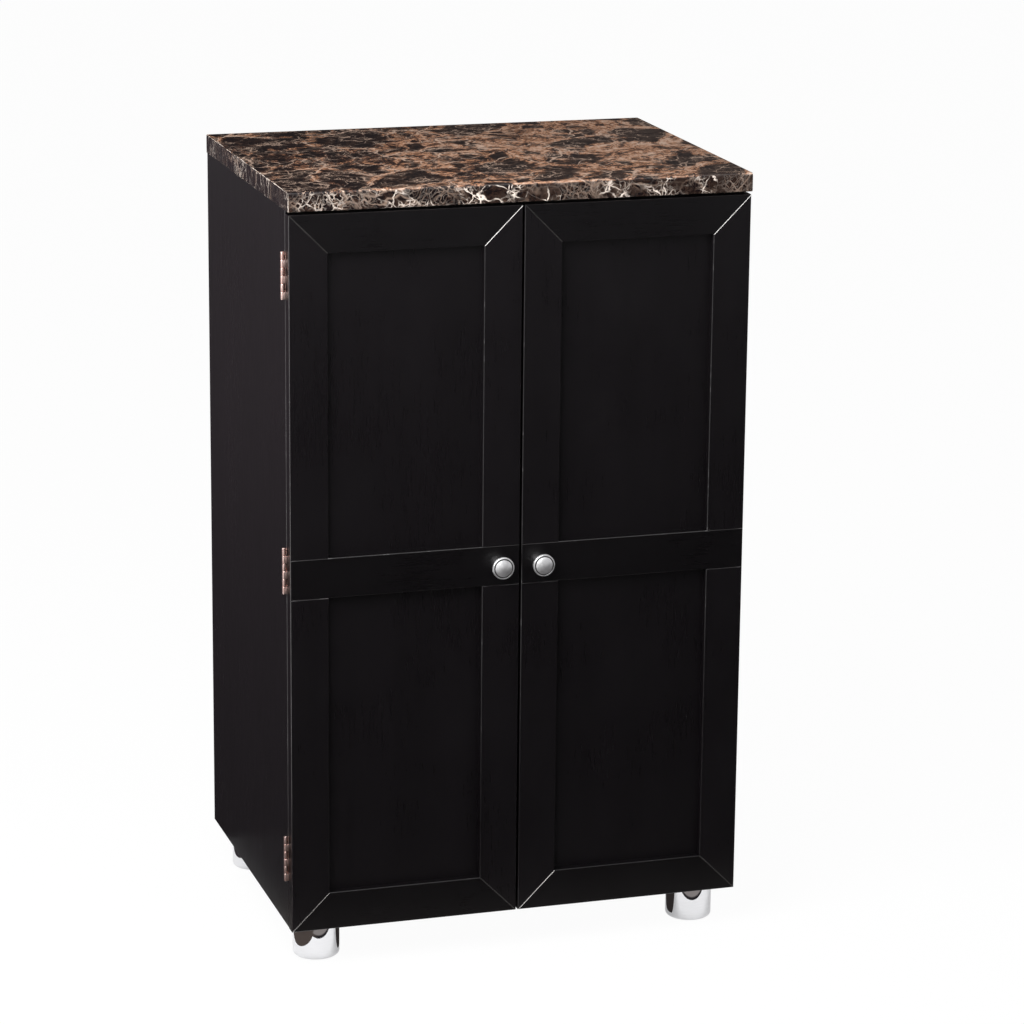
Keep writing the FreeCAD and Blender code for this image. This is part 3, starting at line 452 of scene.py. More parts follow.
@finish("marble")
def marble(stone, look, part):
    """Glossy marble-look laminate: dark patches in mottled brown, with a net of pale veins.

    The front edge shows more of the net, and the side bands show the print pulled out along their height,
    with a painted highlight along their eased edges.
    """
    where = stone.places()
    if part == "band":
        where = stone.mapped(where, BAND_STRETCH)
    folded = stone.pushed(stone.pushed(where, 6.0, 0.070), 21.0, 0.026)
    crisp = stone.pushed(folded, 80.0, 0.0075)
    laid = stone.mapped(stone.mapped(crisp, turn=LAY_TURN), LAY_STRETCH)
    edge = 1.0 - stone.facing()[Z].ramp(0.3, 0.8)
    to_right = stone.parts(where)[X]

    cloud = stone.noise(folded, 7.0, 3.0, 0.55)
    mottle = stone.noise(laid, 58.0, 9.0, 0.72)
    speck = stone.noise(laid, 240.0, 5.0, 0.70)
    # Lighter towards the right: partly the print's tan clouds there, partly a painted sheen in place of the
    # gloss's pale veil.
    shade = 0.98 * mottle + 0.50 * speck + 0.28 * (cloud - 0.5) + 0.21 * to_right - 0.236
    stops = [
        (0.42, look.marble_dark),
        (0.46, scaled(look.marble_brown, 0.45)),
        (0.50, look.marble_brown),
        (0.55, look.marble_tan),
        (0.70, look.marble_vein),
    ]
    tone = stone.node("ShaderNodeValToRGB", {"stops": stops}, {0: shade})

    rim = stone.border(laid, 12.5)
    lot = stone.lot(laid, 12.5)
    small = stone.border(laid, 33.0)
    chance = stone.lot(laid, 33.0)
    patch = rim.ramp(0.06, 0.12) * lot.ramp(0.42, 0.50)
    patch = patch.most(small.ramp(0.06, 0.14) * chance.ramp(0.66, 0.72))
    dim = scaled(look.marble_brown, 0.6)
    deep = stone.blend(speck.ramp(0.50, 0.80), look.marble_dark, dim)
    tone = stone.blend((0.95 * patch).most(0.96 * edge), tone, deep)

    strong = stone.noise(where, 12.0).ramp(0.41, 0.57)
    weak = stone.noise(folded, 34.0).ramp(0.42, 0.60)
    wide = rim.ramp(0.024, 0.002) * (0.12 + 0.88 * strong)
    middle = small.ramp(0.042, 0.004) * (0.05 + 0.80 * weak)
    sharp = stone.pushed(crisp, 260.0, 0.0020)
    fine = stone.border(sharp, 95.0).ramp(0.08, 0.01) * strong * weak
    veins = (0.90 * wide).most(0.75 * middle).most(0.75 * fine)
    knot = stone.noise(where, 14.0).ramp(0.46, 0.56)
    broken = stone.noise(sharp, 62.0).ramp(0.40, 0.56, 0.15, 1.0)
    net = stone.border(sharp, 48.0).ramp(0.050, 0.008) * broken * (0.06 + 0.94 * knot)
    web = stone.border(sharp, 135.0).ramp(0.09, 0.010) * weak * (0.15 + 0.85 * knot)
    dense = to_right.ramp(-0.30, -0.06, 0.62, 1.0) if part == "slab" else 0.55
    pale = dense * edge * net.most(0.75 * web)
    tone = stone.blend(veins * (1.0 - 0.65 * edge), tone, look.marble_vein)
    tone = stone.blend(pale, tone, look.marble_net)
    if part == "band":
        # A painted highlight, broken by a noise, along the band's eased edges.
        painted_arris_highlight = stone.noise(where, 55.0).ramp(0.40, 0.60, 0.08, 1.0)
        tone = stone.blend(stone.eased()[0] * painted_arris_highlight, tone, look.marble_net)
    stone.surface(Base_Color=tone, Roughness=0.12 + 0.08 * (mottle - 0.5) + 0.05 * veins,
                  Specular_IOR_Level=0.40, Normal=stone.bump(0.6 * cloud + 0.4 * veins, 0.04, 0.0002))


@finish("antique_copper")
def copper(metal, look):
    """Antique copper: darkened in its hollows and flats, rubbed bright along its edges, with painted shade on
    the carcass knuckles' necks.
    """
    where = metal.places()
    mottle = metal.noise(metal.pushed(where, 180.0, 0.006), 420.0, 5.0, 0.6)
    rub = metal.noise(where, 130.0)
    drawn = metal.noise(metal.mapped(where, (1.0, 1.0, 0.08)), 1900.0, 2.0, 0.5)
    bright = metal.worn().most(rub.ramp(0.38, 0.62, 0.45, 0.95)) * mottle.ramp(0.20, 0.60, 0.60, 1.0)
    tone = metal.blend(bright, look.copper_patina, look.copper)
    # Painted shade: the carcass knuckles' necks, in the seam behind the barrel, are made nearly black.
    neck_shade_tone = scaled(look.copper_patina, 0.10)
    tone = metal.blend(metal.worn().ramp(-0.2, -0.8), tone, neck_shade_tone)
    metal.surface(Base_Color=tone, Metallic=1.0, Roughness=0.52 - 0.14 * bright + 0.10 * (mottle - 0.5),
                  Normal=metal.bump(0.5 * mottle + 0.5 * drawn, 0.16, 0.00012))


@finish("brushed_nickel")
def nickel(metal, look):
    """Nickel brushed in rings round each knob's own middle, with painted shade in the groove round its face.
    """
    sizes = bpy.context.scene.cabinet_sizes
    low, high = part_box("right_knob")
    middle = (low + high) / 2
    where = metal.places()
    across, back, up = metal.parts(where)
    sideways = abs(across) - middle.x
    upward = up - middle.z
    radius = (sideways * sideways + upward * upward) ** 0.5
    ring_place = metal.node("ShaderNodeCombineXYZ", {}, {0: radius, 1: 0.04 * sideways, 2: 0.04 * upward})
    rings = metal.noise(ring_place, 5200.0)
    haze = metal.noise(where, 160.0, 3.0, 0.5)
    ring_out = sizes.knob_ring
    ring_in = ring_out - sizes.knob_ring_width
    blur = 0.0002
    floor = low.y + sizes.knob_crown + sizes.knob_ring_depth
    # Painted shade in the ring groove round the knob's face.
    groove = radius.ramp(ring_in - blur, ring_in + blur) * radius.ramp(ring_out + blur, ring_out - blur / 2)
    groove = groove * (1.0 - back.ramp(floor + 3 * blur, floor + 5 * blur))
    dull = scaled(look.nickel, 0.78)
    tone = metal.blend((0.5 * rings + 0.5 * haze).ramp(0.3, 0.7), dull, look.nickel)
    tone = metal.blend(0.92 * groove, tone, GROOVE_SHADE)
    metal.surface(Base_Color=tone, Metallic=1.0, Roughness=0.52 + 0.14 * (rings - 0.5) + 0.10 * (haze - 0.5),
                  Normal=metal.bump(rings, 0.12, 0.00006))


@finish("polished_chrome")
def chrome(metal, look):
    """Polished chrome with faint wiping marks."""
    where = metal.places()
    wipe = metal.noise(metal.mapped(where, (1.0, 1.0, 6.0)), 60.0, 4.0, 0.6)
    ripple = metal.noise(where, 38.0, 2.0, 0.5)
    cool = scaled(look.chrome, 0.97)
    tone = metal.blend(wipe.ramp(0.35, 0.70), look.chrome, cool)
    metal.surface(Base_Color=tone, Metallic=1.0, Roughness=0.03 + wipe.ramp(0.50, 0.80, 0.0, 0.04),
                  Normal=metal.bump(ripple, 0.02, 0.0006))


@finish("zinc_steel")
def steel(metal, look):
    """Zinc plating with its mottled spangle."""
    where = metal.places()
    spangle = metal.lot(where, 700.0)
    haze = metal.noise(where, 240.0, 4.0, 0.6)
    dull = scaled(look.steel, 0.62)
    tone = metal.blend((0.35 * spangle + 0.65 * haze).ramp(0.25, 0.65), dull, look.steel)
    metal.surface(Base_Color=tone, Metallic=1.0, Roughness=0.30 + 0.16 * haze + 0.06 * spangle,
                  Normal=metal.bump(haze, 0.10, 0.0001))


@finish("catch_plastic")
def plastic(case, look):
    """Moulded plastic with a spark-eroded grain."""
    where = case.places()
    grain = case.noise(where, 2600.0)
    flow = case.noise(where, 70.0, 3.0, 0.5)
    rubbed = scaled(look.plastic, 2.4)
    tone = case.blend(case.worn().most(0.35 * flow), look.plastic, rubbed)
    case.surface(Base_Color=tone, Roughness=0.48 + 0.20 * (grain - 0.5), Specular_IOR_Level=0.4,
                 Normal=case.bump(grain, 0.22, 0.0001))


@finish("glide_pad")
def felt(cloth, look):
    """Pressed felt: matted fibres in two browns."""
    where = cloth.places()
    fibre = cloth.noise(cloth.pushed(where, 320.0, 0.006), 1500.0, 5.0, 0.7)
    patch = cloth.noise(where, 90.0, 3.0, 0.5)
    dark = scaled(look.pad, 0.45)
    tone = cloth.blend((0.6 * fibre + 0.4 * patch).ramp(0.3, 0.7), dark, look.pad)
    cloth.surface(Base_Color=tone, Roughness=0.85 + 0.20 * (fibre - 0.5), Specular_IOR_Level=0.2,
                  Normal=cloth.bump(fibre, 0.6, 0.0004))


# Meshes

def new_mesh():
    mesh = bmesh.new()
    mesh.faces.layers.float.new(WEAR_AND_SHADE)
    return mesh


def add_box(mesh, low, high):
    """A box between two corners, and its edges."""
    low, high = Vector(low), Vector(high)
    place = Matrix.Translation((low + high) / 2) @ Matrix.Diagonal((*(high - low), 1.0))
    corners = bmesh.ops.create_cube(mesh, size=1.0, matrix=place)["verts"]
    return list(dict.fromkeys(edge for corner in corners for edge in corner.link_edges))


def running(edges, axis):
    """Those of a box's edges that run along an axis."""
    return [edge for edge in edges if abs(edge.verts[0].co[axis] - edge.verts[1].co[axis]) > CLOSE]


def sharp_edges(mesh):
    return [edge for edge in mesh.edges if edge.calc_face_angle(0.0) > SHARP]


def mark(mesh, faces, wear):
    layer = mesh.faces.layers.float[WEAR_AND_SHADE]
    for face in faces:
        face[layer] = wear


def rounded(mesh, edges, width, segments):
    """Round edges, and give the faces that this makes."""
    return bmesh.ops.bevel(mesh, geom=edges, offset=width, offset_type="OFFSET", affect="EDGES",
                           segments=segments, profile=0.5, material=-1, clamp_overlap=True)["faces"]


def soften(mesh, edges, width, segments=2):
    """Round edges, and mark the faces that this makes as rubbed."""
    mark(mesh, rounded(mesh, edges, width, segments), RUBBED)


def data_of(mesh, name):
    """A mesh as data for an object. The mesh given is used up."""
    data = bpy.data.meshes.new(name)
    mesh.to_mesh(data)
    mesh.free()
    return data


def linked(name, data):
    """An object in the scene that holds some data."""
    thing = bpy.data.objects.new(name, data)
    bpy.context.collection.objects.link(thing)
    return thing


def add_copy(mesh, part, place):
    """Add a copy of another mesh at a place."""
    copy = data_of(part.copy(), "copy")
    copy.transform(place)
    mesh.from_mesh(copy)
    bpy.data.meshes.remove(copy)


def moved(part, place):
    """A mesh taken to a place. The mesh given is used up."""
    mesh = new_mesh()
    add_copy(mesh, part, place)
    part.free()
    return mesh


def twisted(index, first, step):
    """A turn about Z that leaves each of a row of screws in its own way, in degrees."""
    return Matrix.Rotation(math.radians(first + step * index), 4, "Z")


class Turning:
    """A profile of radii and heights, drawn point by point and then spun about the Z axis."""

    def __init__(self, radius, height):
        self.mesh = new_mesh()
        self.tip = self.mesh.verts.new((radius, 0.0, height))

    def line(self, radius, height):
        self.tip = bmesh.ops.extrude_vert_indiv(self.mesh, verts=[self.tip])["verts"][0]
        self.tip.co = (radius, 0.0, height)
        return self

    def arc(self, radius, height, degrees, steps):
        """Swing the tip about a centre, from Z towards X where the angle is positive."""
        swung = bmesh.ops.spin(self.mesh, geom=[self.tip], cent=(radius, 0.0, height), axis=(0.0, 1.0, 0.0),
                               dvec=(0.0, 0.0, 0.0), angle=math.radians(degrees), steps=steps,
                               use_merge=False, use_normal_flip=False, use_duplicate=False)
        self.tip = [item for item in swung["geom_last"] if isinstance(item, bmesh.types.BMVert)][0]
        return self

    def corner(self, radius, height, steps):
        """Round a corner outwards: a quarter turn about a centre."""
        return self.arc(radius, height, -90.0, steps)

    def spun(self, steps):
        mesh = self.mesh
        bmesh.ops.spin(mesh, geom=mesh.verts[:] + mesh.edges[:], cent=(0.0, 0.0, 0.0), axis=(0.0, 0.0, 1.0),
                       dvec=(0.0, 0.0, 0.0), angle=2.0 * math.pi, steps=steps,
                       use_merge=True, use_normal_flip=False, use_duplicate=False)
        bmesh.ops.remove_doubles(mesh, verts=mesh.verts, dist=CLOSE)
        bmesh.ops.recalc_face_normals(mesh, faces=mesh.faces)
        return mesh


def carved(mesh, tool):
    """What is left of a mesh once a tool's shape is cut out of it. Both meshes are used up."""
    work = linked("work", data_of(mesh, "work"))
    cutter = linked("tool", data_of(tool, "tool"))
    cut = work.modifiers.new("cut", "BOOLEAN")
    cut.operation = "DIFFERENCE"
    cut.solver = "EXACT"
    cut.use_self = True
    cut.object = cutter
    depsgraph = bpy.context.evaluated_depsgraph_get()
    result = bpy.data.meshes.new_from_object(work.evaluated_get(depsgraph))
    left = new_mesh()
    left.from_mesh(result)
    for thing in (work, cutter):
        data = thing.data
        bpy.data.objects.remove(thing)
        bpy.data.meshes.remove(data)
    bpy.data.meshes.remove(result)
    return left


def cut_cross(mesh, reach, width, depth):
    """Cut a cross slot into the face of a head that lies at Z 0 and looks down."""
    tool = new_mesh()
    for long_x, long_y in ((reach, width / 2), (width / 2, reach)):
        add_box(tool, (-long_x, -long_y, -depth), (long_x, long_y, depth))
    return carved(mesh, tool)


def pan_screw(sizes, head, size):
    """A pan-headed screw on Z 0, its head looking down."""
    thick = PAN_HEIGHT * head
    bend = thick / 2
    shape = Turning(0.0, 0.0).line(head - bend, 0.0).corner(head - bend, bend, 5)
    shank = PAN_SHANK * head
    shape.line(head, thick).line(shank, thick).line(shank, size - shank).line(0.0, size)
    return cut_cross(shape.spun(ROUND["bolt"]), PAN_SLOT * head, WIDER * sizes.slot_width,
                     PAN_SLOT_DEPTH * thick)


def solids_of(node):
    """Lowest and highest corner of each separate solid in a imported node, in the order of their places."""
    mesh = bmesh.new()
    mesh.from_mesh(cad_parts[node].data)
    bmesh.ops.remove_doubles(mesh, verts=mesh.verts, dist=CLOSE)
    left = set(mesh.verts)
    boxes = []
    while left:
        group = [left.pop()]
        for corner in group:
            near = {edge.other_vert(corner) for edge in corner.link_edges} & left
            left -= near
            group.extend(near)
        low = Vector(map(min, *(corner.co for corner in group)))
        high = Vector(map(max, *(corner.co for corner in group)))
        boxes.append((low, high))
    mesh.free()
    return sorted(boxes, key=lambda box: [round(part, 5) for part in box[0]])


def place_piece(mesh, name, body, materials, node):
    """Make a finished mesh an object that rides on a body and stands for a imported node."""
    data = data_of(mesh, name)
    for material in materials:
        data.materials.append(material)
    data.polygons.foreach_set("use_smooth", [True] * len(data.polygons))
    data.set_sharp_from_angle(angle=CREASE)
    piece = linked(name, data)
    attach(piece, body)
    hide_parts(node)


def dress(node, material):
    """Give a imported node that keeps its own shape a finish."""
    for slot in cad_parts[node].material_slots:
        slot.material = material


# Operators

class CABINET_OT_slab(bpy.types.Operator):
    """Finish the slab top and its side bands"""

    bl_idname = "cabinet.slab"
    bl_label = "Slab top"

    def execute(self, context):
        dress("marble_top", marble("slab"))
        for side in SIDES:
            dress(f"{side}_top_edge_band", marble("band"))
        return {"FINISHED"}


class CABINET_OT_carcass(bpy.types.Operator):
    """Finish the carcass boards, the shelves and the back"""

    bl_idname = "cabinet.carcass"
    bl_label = "Carcass"

    def execute(self, context):
        for run, boards in CARCASS_BOARDS.items():
            for board in boards:
                dress(board, lacquer(run))
        dress("back_panel", hardboard())
        return {"FINISHED"}


class CABINET_OT_doors(bpy.types.Operator):
    """Finish the frames and panels of both doors"""

    bl_idname = "cabinet.doors"
    bl_label = "Doors"

    def execute(self, context):
        for run, members in DOOR_MEMBERS.items():
            for member in members:
                for side in SIDES:
                    dress(f"{side}_door_{member}", lacquer(run))
        return {"FINISHED"}


class CABINET_OT_hinges(bpy.types.Operator):
    """Build the butt hinges: leaves with their knuckles, pins and screws"""

    bl_idname = "cabinet.hinges"
    bl_label = "Hinges"

    head_edge = 0.0001
    screw_point = 0.003
    slot_depth = 0.0008
    shank_share = 0.55
    slot_share = 0.62
    twist = (17.0, 41.0)

    # How far the faces at a knuckle's rounded ends look up or down, between its side and its flat ends.
    side_tilt, end_tilt = 0.15, 0.999

    def knuckle(self, sizes, barrel, foot, top):
        """A knuckle about the Z axis, rubbed at its rounded ends."""
        bend = sizes.knuckle_round
        roll = Turning(0.0, foot).line(barrel - bend, foot).corner(barrel - bend, foot + bend, 4)
        roll.line(barrel, top - bend).corner(barrel - bend, top - bend, 4).line(0.0, top)
        mesh = roll.spun(ROUND["knuckle"])
        ends = [face for face in mesh.faces if self.side_tilt < abs(face.normal.z) < self.end_tilt]
        mark(mesh, ends, RUBBED)
        return mesh

    def leaf(self, sizes, sign, pin, start, reach, barrel, on_door):
        """One leaf about a pin given as a box: its plate from start to reach, and every second knuckle."""
        low, high = pin
        middle = (low + high) / 2
        pitch = (high.z - low.z) / sizes.knuckles
        inward = -sign
        near_end = middle.x + inward * start
        far_end = middle.x + inward * reach
        clear = sizes.leaf_clear
        span = (-clear - sizes.leaf_thick, -clear) if on_door else (clear, clear + sizes.leaf_thick)
        mesh = new_mesh()
        ends = sorted((near_end, far_end))
        edges = add_box(mesh, (ends[0], middle.y + span[0], low.z), (ends[1], middle.y + span[1], high.z))
        corners = [edge for edge in running(edges, Y) if abs(edge.verts[0].co.x - far_end) < CLOSE]
        rounded(mesh, corners, sizes.leaf_corner, 5)
        soften(mesh, sharp_edges(mesh), sizes.leaf_arris)
        root = near_end if on_door else near_end + inward * 2 * sizes.leaf_arris
        neck = sorted((middle.x, root))
        wide = (-sizes.neck_bulge, -clear) if on_door else (span[1] - sizes.neck_slim, span[1])
        for index in range(1 if on_door else 0, sizes.knuckles, 2):
            top = high.z - index * pitch - sizes.knuckle_gap / 2
            foot = top - pitch + sizes.knuckle_gap
            before = set(mesh.faces)
            bent = add_box(mesh, (neck[0], middle.y + wide[0], foot + sizes.knuckle_round),
                           (neck[1], middle.y + wide[1], top - sizes.knuckle_round))
            soften(mesh, bent, sizes.leaf_arris)
            # The carcass knuckles' slim necks get painted shade, since they sit in the seam behind the
            # barrel.
            if not on_door:
                mark(mesh, set(mesh.faces) - before, PAINTED_NECK_SHADE)
            knuckle = self.knuckle(sizes, barrel, foot, top)
            add_copy(mesh, knuckle, Matrix.Translation((middle.x, middle.y, 0.0)))
            knuckle.free()
        return mesh

    def domed_pin(self, sizes, pin):
        """A pin that ends in a low dome, flush with its hinge."""
        low, high = pin
        radius = (high.x - low.x) / 2
        dome = sizes.pin_dome
        swell = (radius ** 2 + dome ** 2) / (2 * dome)
        sweep = math.degrees(math.asin(radius / swell))
        shape = Turning(0.0, low.z).arc(0.0, low.z + swell, -sweep, 5)
        shape.line(radius, high.z - dome).arc(0.0, high.z - swell, -sweep, 5)
        place = Matrix.Translation(((low.x + high.x) / 2, (low.y + high.y) / 2, 0.0))
        return moved(shape.spun(ROUND["pin"]), place)

    def screws(self, sizes, node, towards):
        """Countersunk screws with cross slots, in place of a node's. Towards is the way they go in."""
        boxes = solids_of(node)
        low, high = boxes[0]
        head = (high.x - low.x) / 2
        size = high.y - low.y
        shank = self.shank_share * head
        shape = Turning(0.0, 0.0).line(head - self.head_edge, 0.0).line(head, self.head_edge)
        shape.line(shank, sizes.leaf_thick).line(shank, size - self.screw_point).line(0.0, size)
        screw = cut_cross(shape.spun(ROUND["screw"]), self.slot_share * head, sizes.slot_width,
                          self.slot_depth)
        mesh = new_mesh()
        spin = Matrix.Rotation(-towards * math.pi / 2, 4, "X")
        for index, (low, high) in enumerate(boxes):
            face = low.y if towards > 0 else high.y
            place = Matrix.Translation(((low.x + high.x) / 2, face, (low.z + high.z) / 2))
            add_copy(mesh, screw, place @ spin @ twisted(index, *self.twist))
        screw.free()
        return mesh

    def execute(self, context):
        sizes = context.scene.cabinet_sizes
        slot, metal = "antique_copper", [copper()]
        for side, sign in SIDES.items():
            pins = solids_of(f"{side}_hinge_pins")
            axis = (pins[0][0].x + pins[0][1].x) / 2
            low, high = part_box(f"{side}_hinge_frame_leaves")
            outer, inner = (low, high) if sign < 0 else (high, low)
            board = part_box(f"{side}_side_panel")[0 if sign < 0 else 1]
            start, reach, barrel = (abs(corner.x - axis) for corner in (board, inner, outer))
            frame_leaves, door_leaves, pin_set = new_mesh(), new_mesh(), new_mesh()
            for pin in pins:
                leaf_sizes = (sizes, sign, pin, start, reach, barrel)
                for mesh, made in ((frame_leaves, self.leaf(*leaf_sizes, False)),
                                   (door_leaves, self.leaf(*leaf_sizes, True)),
                                   (pin_set, self.domed_pin(sizes, pin))):
                    add_copy(mesh, made, Matrix.Identity(4))
                    made.free()
            door, door_screws = f"{side}_door", f"{side}_hinge_door_screws"
            for mesh, name, body, node in (
                    (frame_leaves, f"{side}_carcass_hinge_leaves", CARCASS, f"{side}_hinge_frame_leaves"),
                    (door_leaves, f"{side}_door_hinge_leaves", door, f"{side}_hinge_door_leaves"),
                    (pin_set, f"{side}_domed_pins", CARCASS, f"{side}_hinge_pins"),
                    (self.screws(sizes, door_screws, -1), f"{side}_door_leaf_screws", door, door_screws)):
                place_piece(mesh, name, body, metal, node)
        node = "hinge_frame_screws"
        place_piece(self.screws(sizes, node, 1), "carcass_leaf_screws", CARCASS, metal, node)
        return {"FINISHED"}


class CABINET_OT_knobs(bpy.types.Operator):
    """Turn the two knobs and the screws that hold them"""

    bl_idname = "cabinet.knobs"
    bl_label = "Knobs"

    foot_soft = 0.0003
    neck_bow = 0.014
    rim_step = 0.0002
    ring_lip = 0.0001
    ring_slope = 0.0002
    screw_head = 0.0024
    slot_depth = 0.0013
    shank_share = 0.5
    slot_share = 0.55

    def knob(self, sizes, radius, reach):
        """A knob standing on Z 0: straight foot, swept neck, rounded rim, ring groove, crowned face."""
        foot, foot_top, soft = sizes.knob_base_radius, sizes.knob_base_height, self.foot_soft
        rim_top = reach - sizes.knob_crown
        rim_low = rim_top - sizes.knob_rim
        rim_round = sizes.knob_rim_round
        shape = Turning(0.0, 0.0).line(foot - soft, 0.0).corner(foot - soft, soft, 3)
        shape.line(foot, foot_top)
        rise = rim_low - foot_top
        run = radius - foot
        chord = math.hypot(rise, run)
        lift = math.sqrt(self.neck_bow ** 2 - (chord / 2) ** 2)
        centre_radius = foot + run / 2 + lift * rise / chord
        centre_height = foot_top + rise / 2 - lift * run / chord
        sweep = 2.0 * math.degrees(math.asin(chord / 2 / self.neck_bow))
        shape.arc(centre_radius, centre_height, sweep, 14)
        shape.line(radius, rim_low + self.rim_step).line(radius, rim_top - rim_round)
        shape.corner(radius - rim_round, rim_top - rim_round, 8)
        ring_out = sizes.knob_ring
        ring_in = ring_out - sizes.knob_ring_width
        ring_floor = rim_top - sizes.knob_ring_depth
        shape.line(ring_out + self.ring_lip, rim_top).line(ring_out, rim_top - self.ring_lip)
        shape.line(ring_out - self.ring_slope, ring_floor).line(ring_in + self.ring_slope, ring_floor)
        shape.line(ring_in, rim_top)
        swell = (ring_in ** 2 + sizes.knob_crown ** 2) / (2 * sizes.knob_crown)
        shape.arc(0.0, reach - swell, -math.degrees(math.asin(ring_in / swell)), 16)
        return shape.spun(ROUND["knob"])

    def screw(self, sizes, head, size):
        """A round-headed screw on Z 0, its head looking down."""
        thick = self.screw_head
        bend = thick / 2
        shape = Turning(0.0, 0.0).line(head - bend, 0.0).corner(head - bend, bend, 6).line(head, thick)
        shank = self.shank_share * head
        shape.line(shank, thick).line(shank, size).line(0.0, size)
        return cut_cross(shape.spun(ROUND["bolt"]), self.slot_share * head, WIDER * sizes.slot_width,
                         self.slot_depth)

    def execute(self, context):
        sizes = context.scene.cabinet_sizes
        for side in SIDES:
            low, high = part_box(f"{side}_knob")
            middle = (low + high) / 2
            for node, name, make, slot, metal in (
                    (f"{side}_knob", "turned_knob", self.knob, "brushed_nickel", nickel()),
                    (f"{side}_knob_screw", "knob_machine_screw", self.screw, "zinc_steel", steel())):
                low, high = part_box(node)
                made = make(sizes, (high.x - low.x) / 2, high.y - low.y)
                mesh = moved(made, Matrix.Translation((middle.x, high.y, middle.z)) @ FORWARD)
                place_piece(mesh, f"{side}_{name}", f"{side}_door", [metal], node)
        return {"FINISHED"}


class CABINET_OT_feet(bpy.types.Operator):
    """Spin the four chrome feet, and finish their pads and bolts"""

    bl_idname = "cabinet.feet"
    bl_label = "Feet"

    pad_clear = 0.0001

    def cup(self, sizes, radius, low, high, pad, pad_top):
        """A drawn cup, open at the top, with a recess under it for the pad."""
        soft = sizes.foot_lip
        inside = radius - sizes.foot_wall
        shape = Turning(0.0, pad_top).line(pad, pad_top).line(pad, low)
        shape.line(radius - sizes.foot_round, low)
        shape.corner(radius - sizes.foot_round, low + sizes.foot_round, 12)
        shape.line(radius, high - soft)
        shape.corner(radius - soft, high - soft, 5)
        shape.line(inside, high).line(inside, low + sizes.foot_floor).line(0.0, low + sizes.foot_floor)
        return shape.spun(ROUND["foot"])

    def execute(self, context):
        sizes = context.scene.cabinet_sizes
        pad_low, pad_high = solids_of("foot_pads")[0]
        pad_radius = (pad_high.x - pad_low.x) / 2 + self.pad_clear
        for side in SIDES:
            for end in ENDS:
                node = f"{side}_{end}_foot"
                low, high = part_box(node)
                middle = (low + high) / 2
                cup = self.cup(sizes, (high.x - low.x) / 2, low.z, high.z, pad_radius, pad_high.z)
                mesh = moved(cup, Matrix.Translation((middle.x, middle.y, 0.0)))
                place_piece(mesh, f"{side}_{end}_chrome_foot", CARCASS, [chrome()], node)
        dress("foot_pads", felt())
        dress("foot_bolts", steel())
        return {"FINISHED"}


class CABINET_OT_racks(bpy.types.Operator):
    """Build the stemware rails and the bottle rack with eased edges, and finish the shelf pins"""

    bl_idname = "cabinet.racks"
    bl_label = "Racks"

    def stemware(self, sizes, boxes):
        """Rails like an upturned T, each a web on a flange."""
        mesh = new_mesh()
        for low, high in boxes:
            middle = (low.x + high.x) / 2
            flange_top = low.z + sizes.stem_flange
            soften(mesh, add_box(mesh, low, (high.x, high.y, flange_top)), sizes.rail_arris)
            web = sizes.stem_web / 2
            soften(mesh, add_box(mesh, (middle - web, low.y, flange_top - sizes.rail_arris),
                                 (middle + web, high.y, high.z)), sizes.rail_arris / 2)
        return mesh

    def cradles(self, sizes, low, high):
        """A rail with a row of round hollows in its top, all its edges eased."""
        mesh = new_mesh()
        add_box(mesh, low, high)
        tool = new_mesh()
        middle = (low + high) / 2
        for index in range(sizes.bottles):
            across = middle.x + (index - (sizes.bottles - 1) / 2) * sizes.bottle_pitch
            place = Matrix.Translation((across, middle.y, high.z)) @ FORWARD
            bmesh.ops.create_cone(tool, cap_ends=True, segments=ROUND["cradle"], radius1=sizes.bottle_radius,
                                  radius2=sizes.bottle_radius, depth=3 * (high.y - low.y), matrix=place)
        mesh = carved(mesh, tool)
        soften(mesh, sharp_edges(mesh), sizes.rail_arris)
        return mesh

    def execute(self, context):
        sizes = context.scene.cabinet_sizes
        place_piece(self.stemware(sizes, solids_of("stemware_rails")), "eased_stemware_rails", CARCASS,
                    [lacquer("back")], "stemware_rails")
        for end in ENDS:
            node = f"bottle_rack_{end}_rail"
            place_piece(self.cradles(sizes, *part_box(node)), f"eased_{node}", CARCASS,
                        [lacquer("across")], node)
        dress("shelf_pins", steel())
        return {"FINISHED"}


class CABINET_OT_fixings(bpy.types.Operator):
    """Build the cam locks and the slab's screws, and finish the cam bolts"""

    bl_idname = "cabinet.fixings"
    bl_label = "Fixings"

    rim = 0.0006
    ring_edge = 0.0015
    face_edge = 0.0018
    face_sunk = 0.0004
    slot_depth = 0.003
    slot_share = 0.62
    slot_wider = 2.2
    twist = (23.0, 37.0)

    def cam(self, sizes, radius, thick):
        """A cam lock on Z 0 with a stepped rim and a wide cross slot, looking down."""
        rim = self.rim
        shape = Turning(0.0, self.face_sunk).line(radius - self.face_edge, self.face_sunk)
        shape.line(radius - self.ring_edge, 0.0).line(radius - rim, 0.0).corner(radius - rim, rim, 4)
        shape.line(radius, thick).line(0.0, thick)
        return cut_cross(shape.spun(ROUND["cam"]), self.slot_share * radius,
                         self.slot_wider * sizes.slot_width, self.slot_depth)

    def execute(self, context):
        sizes = context.scene.cabinet_sizes
        for node, name, make in (("cam_locks", "slotted_cams", self.cam),
                                 ("top_fixing_screws", "slab_screws", pan_screw)):
            boxes = solids_of(node)
            low, high = boxes[0]
            part = make(sizes, (high.x - low.x) / 2, high.z - low.z)
            mesh = new_mesh()
            for index, (low, high) in enumerate(boxes):
                place = Matrix.Translation(((low.x + high.x) / 2, (low.y + high.y) / 2, low.z))
                add_copy(mesh, part, place @ twisted(index, *self.twist))
            part.free()
            place_piece(mesh, name, CARCASS, [steel()], node)
        dress("cam_bolts", steel())
        return {"FINISHED"}


